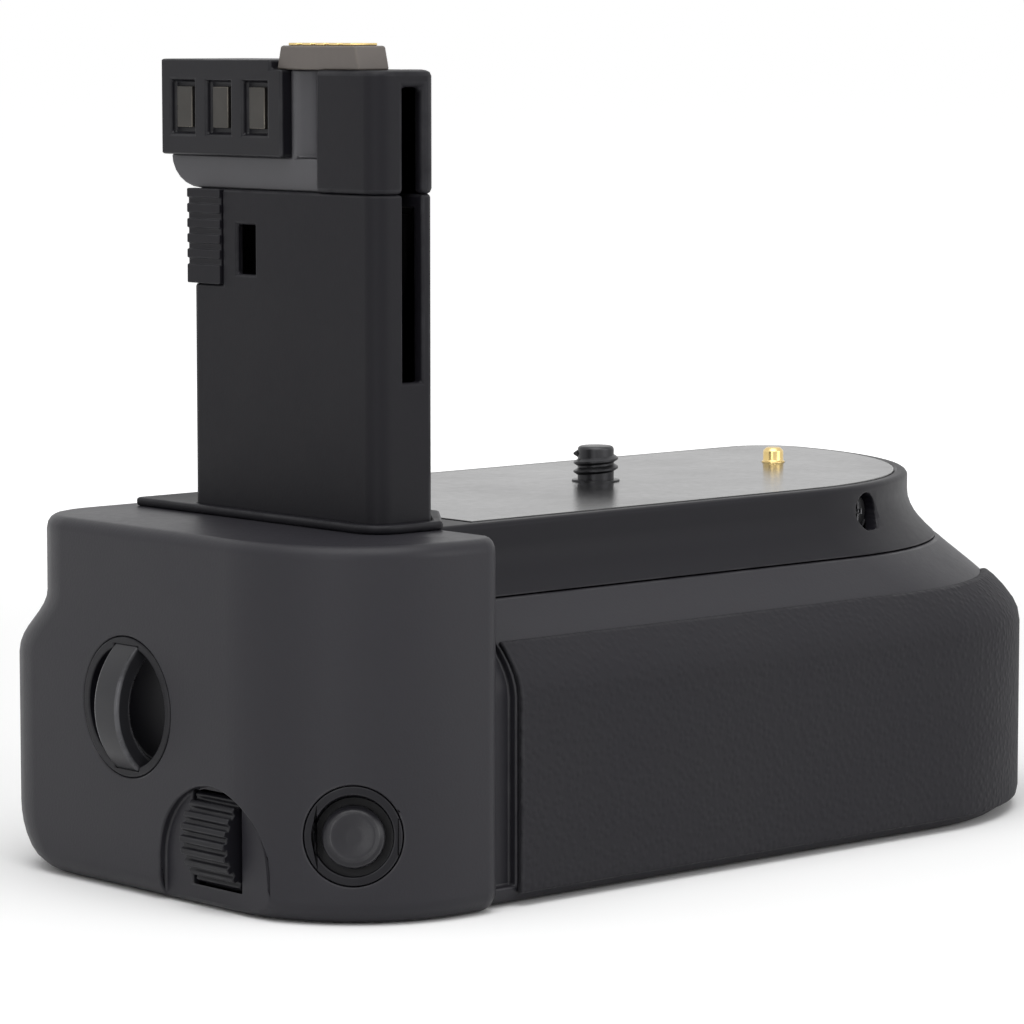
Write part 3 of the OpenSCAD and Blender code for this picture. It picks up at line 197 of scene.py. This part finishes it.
def groupRange(group, value, low, high, newLow=0.0, newHigh=1.0):
    ramp = group.nodes.new("ShaderNodeMapRange")
    ramp.inputs["From Min"].default_value = low
    ramp.inputs["From Max"].default_value = high
    ramp.inputs["To Min"].default_value = newLow
    ramp.inputs["To Max"].default_value = newHigh
    link(group, value, ramp.inputs["Value"])
    return ramp.outputs["Result"]


def groupMath(group, operation, first, second):
    node = group.nodes.new("ShaderNodeMath")
    node.operation = operation
    for socket, value in ((node.inputs[0], first), (node.inputs[1], second)):
        if isinstance(value, (int, float)):
            socket.default_value = value
        else:
            link(group, value, socket)
    return node.outputs[0]


# fine spark-eroded grain of the mould, with faint large clouds of tone
grainLook = {"cloudScale": 38.0, "cloudRough": 0.6, "speckScale": 900.0, "cloudShare": 0.7, "speckShare": 0.3}
mouldGrain, grainIn, grainOut = newGroup(
    "mouldGrain",
    [("Vector", "NodeSocketVector", None), ("Scale", "NodeSocketFloat", 2600.0)],
    [("Height", "NodeSocketFloat"), ("Tone", "NodeSocketFloat")])
fineHeight = groupNoise(mouldGrain, grainIn.outputs["Vector"], grainIn.outputs["Scale"], 3.0)
cloudTone = groupNoise(mouldGrain, grainIn.outputs["Vector"], grainLook["cloudScale"], 4.0, grainLook["cloudRough"])
speckTone = groupNoise(mouldGrain, grainIn.outputs["Vector"], grainLook["speckScale"], 2.0)
toneMix = groupMath(mouldGrain, "ADD", groupMath(mouldGrain, "MULTIPLY", cloudTone, grainLook["cloudShare"]),
                    groupMath(mouldGrain, "MULTIPLY", speckTone, grainLook["speckShare"]))
link(mouldGrain, fineHeight, grainOut.inputs["Height"])
link(mouldGrain, groupRange(mouldGrain, toneMix, *toneRange), grainOut.inputs["Tone"])

# pebbled hide of the moulded rubber
hideLook = {"smooth": 0.4, "pebbleRange": (0.1, 0.6), "fineScale": 4200.0, "fineShare": 0.25, "cloudScale": 45.0,
            "cloudRough": 0.6}
rubberHide, hideIn, hideOut = newGroup(
    "rubberHide",
    [("Vector", "NodeSocketVector", None), ("Scale", "NodeSocketFloat", 900.0)],
    [("Height", "NodeSocketFloat"), ("Tone", "NodeSocketFloat")])
pebbles = rubberHide.nodes.new("ShaderNodeTexVoronoi")
pebbles.feature = "SMOOTH_F1"
pebbles.inputs["Smoothness"].default_value = hideLook["smooth"]
link(rubberHide, hideIn.outputs["Vector"], pebbles.inputs["Vector"])
link(rubberHide, hideIn.outputs["Scale"], pebbles.inputs["Scale"])
pebbleTop = groupRange(rubberHide, pebbles.outputs["Distance"], *hideLook["pebbleRange"], 1.0, 0.0)
hideFine = groupNoise(rubberHide, hideIn.outputs["Vector"], hideLook["fineScale"], 2.0)
hideRise = groupMath(rubberHide, "MULTIPLY", hideFine, hideLook["fineShare"])
link(rubberHide, groupMath(rubberHide, "ADD", pebbleTop, hideRise), hideOut.inputs["Height"])
hideTone = groupNoise(rubberHide, hideIn.outputs["Vector"], hideLook["cloudScale"], 4.0, hideLook["cloudRough"])
link(rubberHide, groupRange(rubberHide, hideTone, *toneRange), hideOut.inputs["Tone"])

# rubbed edges: the mask on bevelled faces, broken up by noise, and smoother than the rest
rubLook = {"patchScale": 140.0, "patchRough": 0.65, "patchRange": (0.38, 0.62), "smoother": 0.15}
edgeRub, rubIn, rubOut = newGroup(
    "edgeRub",
    [("Vector", "NodeSocketVector", None), ("Mask", "NodeSocketFloat", 0.0), ("Amount", "NodeSocketFloat", 0.5)],
    [("Rub", "NodeSocketFloat")])
rubNoise = groupNoise(edgeRub, rubIn.outputs["Vector"], rubLook["patchScale"], 5.0, rubLook["patchRough"])
rubPatches = groupRange(edgeRub, rubNoise, *rubLook["patchRange"])
rubValue = groupMath(edgeRub, "MULTIPLY", rubIn.outputs["Mask"], rubPatches)
link(edgeRub, groupMath(edgeRub, "MULTIPLY", rubValue, rubIn.outputs["Amount"]), rubOut.inputs["Rub"])

# lathe marks round an axis, for turned metal
turnedLook = {"stretch": (0.08, 0.08, 1.0), "toneScale": 300.0}
turnedLines, turnedIn, turnedOut = newGroup(
    "turnedLines",
    [("Vector", "NodeSocketVector", None), ("Scale", "NodeSocketFloat", 3000.0)],
    [("Height", "NodeSocketFloat"), ("Tone", "NodeSocketFloat")])
turnedStretch = turnedLines.nodes.new("ShaderNodeMapping")
turnedStretch.inputs["Scale"].default_value = turnedLook["stretch"]
link(turnedLines, turnedIn.outputs["Vector"], turnedStretch.inputs["Vector"])
link(turnedLines, groupNoise(turnedLines, turnedStretch.outputs[0], turnedIn.outputs["Scale"], 2.0),
     turnedOut.inputs["Height"])
turnedTone = groupNoise(turnedLines, turnedIn.outputs["Vector"], turnedLook["toneScale"], 4.0)
link(turnedLines, groupRange(turnedLines, turnedTone, *toneRange), turnedOut.inputs["Tone"])


def surface(name, look):
    # one Principled shader: tone and rubbed edges in the colour, grain in roughness and bump
    material = bpy.data.materials.new(name)
    material.use_nodes = True
    tree = material.node_tree
    tree.nodes.clear()
    place = tree.nodes.new("ShaderNodeTexCoord").outputs["Object"]
    grain = tree.nodes.new("ShaderNodeGroup")
    grain.node_tree = look["grain"]
    grain.inputs["Scale"].default_value = look["grainScale"]
    link(tree, place, grain.inputs["Vector"])
    mask = tree.nodes.new("ShaderNodeAttribute")
    mask.attribute_name = "edgeMask"
    rub = tree.nodes.new("ShaderNodeGroup")
    rub.node_tree = edgeRub
    rub.inputs["Amount"].default_value = look["rub"]
    link(tree, place, rub.inputs["Vector"])
    link(tree, mask.outputs["Fac"], rub.inputs["Mask"])
    tones = tree.nodes.new("ShaderNodeMix")
    tones.data_type = "RGBA"
    colour = look["colour"]
    spread = look["toneSpread"]
    tones.inputs["A"].default_value = [c * (1 - spread) for c in colour] + [1]
    tones.inputs["B"].default_value = [c * (1 + spread) for c in colour] + [1]
    link(tree, grain.outputs["Tone"], tones.inputs["Factor"])
    worn = tree.nodes.new("ShaderNodeMix")
    worn.data_type = "RGBA"
    worn.inputs["B"].default_value = list(look["rubColour"]) + [1]
    link(tree, tones.outputs["Result"], worn.inputs["A"])
    link(tree, rub.outputs["Rub"], worn.inputs["Factor"])
    rough = groupRange(tree, grain.outputs["Tone"], 0.0, 1.0, look["rough"] - look["roughSpread"],
                       look["rough"] + look["roughSpread"])
    smoother = groupMath(tree, "MULTIPLY", rub.outputs["Rub"], rubLook["smoother"])
    roughWorn = groupMath(tree, "SUBTRACT", rough, smoother)
    bump = tree.nodes.new("ShaderNodeBump")
    bump.inputs["Strength"].default_value = look["bump"]
    bump.inputs["Distance"].default_value = look["bumpDepth"]
    link(tree, grain.outputs["Height"], bump.inputs["Height"])
    shader = tree.nodes.new("ShaderNodeBsdfPrincipled")
    shader.inputs["Metallic"].default_value = look.get("metal", 0.0)
    shader.inputs["Specular IOR Level"].default_value = look["specular"]
    link(tree, worn.outputs["Result"], shader.inputs["Base Color"])
    link(tree, roughWorn, shader.inputs["Roughness"])
    link(tree, bump.outputs["Normal"], shader.inputs["Normal"])
    out = tree.nodes.new("ShaderNodeOutputMaterial")
    link(tree, shader.outputs[0], out.inputs["Surface"])
    return material


finishes = {
    "shell_plastic": {"colour": (0.0165, 0.0158, 0.02), "toneSpread": 0.07, "rough": 0.46, "roughSpread": 0.06,
                      "grain": mouldGrain, "grainScale": 2600.0, "bump": 0.4, "bumpDepth": 0.05 * mm,
                      "specular": 0.28, "rub": 0.45, "rubColour": (0.05, 0.049, 0.053)},
    "cover_plastic": {"colour": (0.006, 0.0056, 0.0082), "toneSpread": 0.07, "rough": 0.45, "roughSpread": 0.05,
                      "grain": mouldGrain, "grainScale": 3200.0, "bump": 0.2, "bumpDepth": 0.03 * mm,
                      "specular": 0.18, "rub": 0.5, "rubColour": (0.034, 0.033, 0.037)},
    "platform_gloss": {"colour": (0.014, 0.014, 0.015), "toneSpread": 0.06, "rough": 0.2, "roughSpread": 0.04,
                       "grain": mouldGrain, "grainScale": 3600.0, "bump": 0.05, "bumpDepth": 0.02 * mm,
                       "specular": 0.45, "rub": 0.5, "rubColour": (0.06, 0.06, 0.062)},
    "stem_plastic": {"colour": (0.0062, 0.0058, 0.0082), "toneSpread": 0.08, "rough": 0.52, "roughSpread": 0.06,
                     "grain": mouldGrain, "grainScale": 3000.0, "bump": 0.3, "bumpDepth": 0.04 * mm,
                     "specular": 0.18, "rub": 0.45, "rubColour": (0.03, 0.03, 0.034)},
    "carrier_plastic": {"colour": (0.055, 0.054, 0.06), "toneSpread": 0.07, "rough": 0.42, "roughSpread": 0.05,
                        "grain": mouldGrain, "grainScale": 3000.0, "bump": 0.2, "bumpDepth": 0.03 * mm,
                        "specular": 0.4, "rub": 0.4, "rubColour": (0.09, 0.09, 0.094)},
    "block_plastic": {"colour": (0.006, 0.0057, 0.008), "toneSpread": 0.08, "rough": 0.42, "roughSpread": 0.06,
                      "grain": mouldGrain, "grainScale": 3000.0, "bump": 0.25, "bumpDepth": 0.03 * mm,
                      "specular": 0.22, "rub": 0.5, "rubColour": (0.03, 0.03, 0.033)},
    "contact_insulator": {"colour": (0.115, 0.101, 0.092), "toneSpread": 0.09, "rough": 0.48, "roughSpread": 0.05,
                          "grain": mouldGrain, "grainScale": 3200.0, "bump": 0.2, "bumpDepth": 0.03 * mm,
                          "specular": 0.35, "rub": 0.4, "rubColour": (0.14, 0.122, 0.105)},
    "rubber": {"colour": (0.0166, 0.016, 0.0192), "toneSpread": 0.08, "rough": 0.7, "roughSpread": 0.06,
               "grain": rubberHide, "grainScale": 1000.0, "bump": 0.8, "bumpDepth": 0.14 * mm,
               "specular": 0.2, "rub": 0.3, "rubColour": (0.042, 0.042, 0.045)},
    "control_plastic": {"colour": (0.012, 0.0115, 0.0148), "toneSpread": 0.07, "rough": 0.38, "roughSpread": 0.06,
                        "grain": mouldGrain, "grainScale": 3200.0, "bump": 0.2, "bumpDepth": 0.03 * mm,
                        "specular": 0.3, "rub": 0.6, "rubColour": (0.05, 0.05, 0.053)},
    "steel": {"colour": (0.56, 0.56, 0.57), "toneSpread": 0.06, "rough": 0.3, "roughSpread": 0.06, "metal": 1.0,
              "grain": turnedLines, "grainScale": 3000.0, "bump": 0.2, "bumpDepth": 0.03 * mm,
              "specular": 0.5, "rub": 0.4, "rubColour": (0.72, 0.72, 0.73)},
    "dark_screw": {"colour": (0.05, 0.05, 0.053), "toneSpread": 0.1, "rough": 0.36, "roughSpread": 0.07, "metal": 0.85,
                   "grain": turnedLines, "grainScale": 3000.0, "bump": 0.2, "bumpDepth": 0.02 * mm,
                   "specular": 0.4, "rub": 0.7, "rubColour": (0.26, 0.26, 0.27)},
    "lug_metal": {"colour": (0.022, 0.022, 0.025), "toneSpread": 0.08, "rough": 0.34, "roughSpread": 0.06, "metal": 0.2,
                  "grain": mouldGrain, "grainScale": 2600.0, "bump": 0.15, "bumpDepth": 0.03 * mm,
                  "specular": 0.3, "rub": 0.5, "rubColour": (0.14, 0.14, 0.15)},
    "gold": {"colour": (0.75, 0.56, 0.24), "toneSpread": 0.08, "rough": 0.28, "roughSpread": 0.06, "metal": 1.0,
             "grain": turnedLines, "grainScale": 3000.0, "bump": 0.12, "bumpDepth": 0.02 * mm,
             "specular": 0.5, "rub": 0.4, "rubColour": (0.85, 0.68, 0.36)},
    "contact_dark": {"colour": (0.05, 0.047, 0.043), "toneSpread": 0.1, "rough": 0.34, "roughSpread": 0.06,
                     "grain": turnedLines, "grainScale": 3000.0, "bump": 0.15, "bumpDepth": 0.02 * mm,
                     "metal": 0.7, "specular": 0.4, "rub": 0.5, "rubColour": (0.2, 0.18, 0.15)},
    "circuit_board": {"colour": (0.03, 0.14, 0.07), "toneSpread": 0.12, "rough": 0.36, "roughSpread": 0.05,
                      "grain": mouldGrain, "grainScale": 1800.0, "bump": 0.1, "bumpDepth": 0.02 * mm,
                      "specular": 0.45, "rub": 0.2, "rubColour": (0.1, 0.2, 0.12)},
    "ribbon": {"colour": (0.5, 0.3, 0.1), "toneSpread": 0.08, "rough": 0.35, "roughSpread": 0.05,
               "grain": mouldGrain, "grainScale": 1200.0, "bump": 0.1, "bumpDepth": 0.02 * mm,
               "specular": 0.45, "rub": 0.2, "rubColour": (0.55, 0.36, 0.16)},
    "battery": {"colour": (0.035, 0.035, 0.038), "toneSpread": 0.07, "rough": 0.45, "roughSpread": 0.05,
                "grain": mouldGrain, "grainScale": 2400.0, "bump": 0.25, "bumpDepth": 0.03 * mm,
                "specular": 0.38, "rub": 0.5, "rubColour": (0.08, 0.08, 0.084)},
}
materials = {slot: surface(slot, look) for slot, look in finishes.items()}
# paints that lie on a piece of another slot
paints = {
    "indexWhite": {"colour": (0.7, 0.7, 0.68), "toneSpread": 0.05, "rough": 0.5, "roughSpread": 0.05,
                   "grain": mouldGrain, "grainScale": 3200.0, "bump": 0.1, "bumpDepth": 0.02 * mm,
                   "specular": 0.4, "rub": 0.4, "rubColour": (0.4, 0.4, 0.39)},
    "labelGrey": {"colour": (0.2, 0.205, 0.215), "toneSpread": 0.06, "rough": 0.42, "roughSpread": 0.06,
                  "grain": mouldGrain, "grainScale": 1500.0, "bump": 0.08, "bumpDepth": 0.02 * mm,
                  "specular": 0.45, "rub": 0.5, "rubColour": (0.32, 0.32, 0.33)},
}
paintMaterials = {name: surface(name, look) for name, look in paints.items()}
print("finishes made,", len(materials))


# tools for pieces: angles in degrees
meshLook = {"weld": 0.002 * mm, "flatAngle": 0.3, "sharpAngle": 34, "threadSharp": 40, "roundAngle": 32}


def finishPiece(bm, name, body, slot, sharp=meshLook["sharpAngle"], paint=None):
    mesh = bpy.data.meshes.new(name)
    bm.to_mesh(mesh)
    bm.free()
    mesh.shade_smooth()
    mesh.set_sharp_from_angle(angle=math.radians(sharp))
    mesh.materials.append(paintMaterials[paint] if paint else materials[slot])
    piece = bpy.data.objects.new(name, mesh)
    bpy.context.scene.collection.objects.link(piece)
    faceNormals = piece.modifiers.new("faceNormals", "WEIGHTED_NORMAL")
    faceNormals.keep_sharp = True
    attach(piece, body)
    return piece


def markEdges(bm, faces):
    # bevelled faces carry the rubbed-edge mask on their corners
    layer = bm.loops.layers.float.get("edgeMask") or bm.loops.layers.float.new("edgeMask")
    for face in faces:
        for corner in face.loops:
            corner[layer] = 1.0


def roundEdges(bm, width, steps):
    limit = math.radians(meshLook["roundAngle"])
    bm.loops.layers.float.get("edgeMask") or bm.loops.layers.float.new("edgeMask")
    edges = [e for e in bm.edges if len(e.link_faces) == 2 and e.calc_face_angle(0) > limit]
    made = bmesh.ops.bevel(bm, geom=edges, offset=width, offset_type="OFFSET", affect="EDGES", segments=steps,
                           profile=0.5, material=-1, clamp_overlap=False, loop_slide=True)
    markEdges(bm, made["faces"])


def mergedCopy(node):
    bm = bmesh.new()
    bm.from_mesh(frame["nodes"][node].data)
    bmesh.ops.remove_doubles(bm, verts=bm.verts[:], dist=meshLook["weld"])
    flat = math.radians(meshLook["flatAngle"])
    bmesh.ops.dissolve_limit(bm, angle_limit=flat, verts=bm.verts[:], edges=bm.edges[:])
    return bm


def standFor(bm, node):
    # the finished mesh takes the node's place
    words = node.split("_")
    name = words[0] + "".join(w.capitalize() for w in words[1:]) + "Moulded"
    piece = finishPiece(bm, name, bodyOfNode[node], slotOfNode[node])
    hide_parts(node)
    return piece


def softenNode(node, width, steps=2):
    # merged copy of a node with its moulded edge radius
    bm = mergedCopy(node)
    roundEdges(bm, width, steps)
    return standFor(bm, node)


# moulded shells and covers: edge radii in millimetres here and in the next lists
shellEdges = {"main_housing": 0.3, "top_cover": 0.3, "platform_plate": 0.15,
              "grip_end_cover": 0.3, "stem_column": 0.4, "stem_head": 0.7, "stem_side_cover": 0.2,
              "stem_collar": 0.4, "terminal_carrier": 0.3, "terminal_block": 0.4,
              "contact_block": 0.3, "stem_catch": 0.15, "tray_end_cap": 0.3, "battery_tray": 0.25,
              "battery_inner": 0.4, "battery_outer": 0.4}
for node, width in shellEdges.items():
    softenNode(node, width * mm)
print("shells softened")

# rubber skins, fatter edges
rubberEdges = {"front_grip_pad": 0.35, "rear_thumb_pad": 0.35}
for node, width in rubberEdges.items():
    softenNode(node, width * mm, 3)

# controls and small metal
controlEdges = {"shutter_cup": 0.2, "command_dial": 0.18, "thumbwheel": 0.18, "exposure_lock_button": 0.35,
                "focus_point_button": 0.35, "power_lever": 0.3, "tray_lock_knob": 0.3, "strap_cup": 0.25,
                "strap_bar": 0.5}
for node, width in controlEdges.items():
    softenNode(node, width * mm, 3 if node == "strap_bar" else 2)
metalEdges = {"tripod_plate": 0.15, "locating_pin": 0.15, "contact_pins": 0.12, "terminal_contacts": 0.12,
              "skirt_screws": 0.12, "tray_contacts": 0.12, "tray_lock_tongue": 0.15}
for node, width in metalEdges.items():
    softenNode(node, width * mm)
print("controls and metal softened")

# shutter button: a finger dish pressed into the cap
dishLook = {"edge": 0.3 * mm, "outward": (-0.654508, -0.726905, 0.207912), "rings": (0.35, 0.45, 0.55, 0.6),
            "drops": (0.02, 0.07, 0.08, 0.05), "facing": 0.98}
buttonBm = mergedCopy("shutter_button")
roundEdges(buttonBm, dishLook["edge"], 3)
outward = Vector(dishLook["outward"])
fronts = [f for f in buttonBm.faces if f.normal.dot(outward) > dishLook["facing"]]
front = max(fronts, key=lambda f: f.calc_center_median().dot(outward))
for ring, drop in zip(dishLook["rings"], dishLook["drops"]):
    bmesh.ops.inset_region(buttonBm, faces=[front], thickness=ring * mm, depth=-drop * mm, use_even_offset=True)
standFor(buttonBm, "shutter_button")

# threads: a trapezoid ridge swept along a helix
threadLook = {"pitch": 1.27 * mm, "depth": 0.6 * mm, "steps": 48, "foot": 0.55 * mm, "crest": 0.12 * mm,
              "sink": 0.06 * mm}


def threadRidge(bm, footRadius, crestRadius, low, turns):
    # the ridge's section stands at the start of the helix and is spun with a rise
    corners = ((footRadius, -threadLook["foot"]), (crestRadius, -threadLook["crest"]),
               (crestRadius, threadLook["crest"]), (footRadius, threadLook["foot"]))
    points = [bm.verts.new((r, 0, low + threadLook["foot"] + dz)) for r, dz in corners]
    section = bm.faces.new(points)
    steps = int(threadLook["steps"] * turns)
    rise = (0, 0, threadLook["pitch"] / threadLook["steps"])
    bmesh.ops.spin(bm, geom=[section] + points + section.edges[:], cent=(0, 0, 0), axis=(0, 0, 1), dvec=rise,
                   angle=math.tau * steps / threadLook["steps"], steps=steps)
    bmesh.ops.recalc_face_normals(bm, faces=bm.faces[:])


# mounting screw: the solid without its plain stud, and a threaded stud on the shank
stud = {"radius": 3.175 * mm, "low": 48.3 * mm, "high": 53.1 * mm, "tip": 0.5 * mm, "turns": 2.4, "sides": 64,
        "threadGap": 0.1 * mm, "slack": 0.05 * mm}
shankBm = mergedCopy("mounting_screw")
studFaces = [f for f in shankBm.faces
             if all(v.co.z > stud["low"] - stud["slack"] and v.co.xy.length < stud["radius"] + stud["slack"]
                    for v in f.verts)]
bmesh.ops.delete(shankBm, geom=studFaces, context="FACES")
bmesh.ops.holes_fill(shankBm, edges=[e for e in shankBm.edges if e.is_boundary], sides=0)
standFor(shankBm, "mounting_screw")
coreRadius = stud["radius"] - threadLook["depth"]
coreBm = bmesh.new()
coreHeight = stud["high"] - stud["low"]
bmesh.ops.create_cone(coreBm, cap_ends=True, segments=stud["sides"], radius1=coreRadius, radius2=coreRadius,
                      depth=coreHeight)
bmesh.ops.translate(coreBm, verts=coreBm.verts[:], vec=(0, 0, stud["low"] + coreHeight / 2))
topEdges = [e for e in coreBm.edges if all(v.co.z > stud["high"] - stud["slack"] for v in e.verts)]
bmesh.ops.bevel(coreBm, geom=topEdges, offset=stud["tip"], offset_type="OFFSET", affect="EDGES", segments=3,
                profile=0.5, material=-1)
threadRidge(coreBm, coreRadius - threadLook["sink"], stud["radius"], stud["low"] + stud["threadGap"], stud["turns"])
finishPiece(coreBm, "mountingThread", "screw", "dark_screw", meshLook["threadSharp"])

# tripod socket: the ridge stands into the bush's bore
socket = {"radius": 3.2 * mm, "low": 0.4 * mm, "turns": 2.9}
socketBm = bmesh.new()
threadRidge(socketBm, socket["radius"] + threadLook["sink"], socket["radius"] - threadLook["depth"], socket["low"],
            socket["turns"])
finishPiece(socketBm, "tripodThread", "grip", "steel", meshLook["threadSharp"])
print("threads cut")


# painted marks and labels: thin plates with round corners
def roundedPlate(name, body, slot, paint, size, radius, place, turned):
    bm = bmesh.new()
    bmesh.ops.create_cube(bm, size=1)
    bmesh.ops.scale(bm, verts=bm.verts[:], vec=size)
    upright = [e for e in bm.edges if abs(e.verts[0].co.z - e.verts[1].co.z) > size[2] / 2]
    bmesh.ops.bevel(bm, geom=upright, offset=radius, offset_type="OFFSET", affect="EDGES", segments=4,
                    profile=0.5, material=-1)
    turning = Euler([math.radians(a) for a in turned]).to_matrix()
    bmesh.ops.rotate(bm, verts=bm.verts[:], cent=(0, 0, 0), matrix=turning)
    bmesh.ops.translate(bm, verts=bm.verts[:], vec=place)
    return finishPiece(bm, name, body, slot, paint=paint)


def highest(node, axis):
    return max(v.co[axis] for v in frame["nodes"][node].data.vertices)


# the lever's index line, and the marks for off and on beside it
leverLook = {"axis": (-38, 16), "backWall": 27.0 * mm, "thick": 0.08 * mm}
leverTop = highest("power_lever", 1)
marks = {"leverIndex": ("power", "control_plastic", (0.7, 4.4), 0.34, (0, leverTop, 5.2), 0),
         "offDot": ("grip", "shell_plastic", (1.1, 1.1), 0.54, (0, leverLook["backWall"], 9.8), 0),
         "onBar": ("grip", "shell_plastic", (0.7, 2.2), 0.34, (6.93, leverLook["backWall"], 6.93), 45)}
for name, (body, slot, (wide, tall), radius, (dx, y, dz), angle) in marks.items():
    spot = ((leverLook["axis"][0] + dx) * mm, y, (leverLook["axis"][1] + dz) * mm)
    roundedPlate(name, body, slot, "indexWhite", (wide * mm, tall * mm, leverLook["thick"]), radius * mm, spot,
                 (-90, angle, 0))

# plain label on each battery pack
labelLook = {"size": (38 * mm, 22 * mm, 0.12 * mm), "corner": 1.5 * mm, "middleY": -3.5 * mm,
             "middleX": {"innerLabel": -27.8 * mm, "outerLabel": 27.0 * mm}}
packTop = highest("battery_inner", 2)
for name, middle in labelLook["middleX"].items():
    roundedPlate(name, "tray", "battery", "labelGrey", labelLook["size"], labelLook["corner"],
                 (middle, labelLook["middleY"], packTop), (0, 0, 0))
print("marks painted")

# inner nodes keep their solids
for node, solid in frame["nodes"].items():
    if not solid.hide_render:
        solid.data.materials.clear()
        solid.data.materials.append(materials[slotOfNode[node]])

print("pieces done")
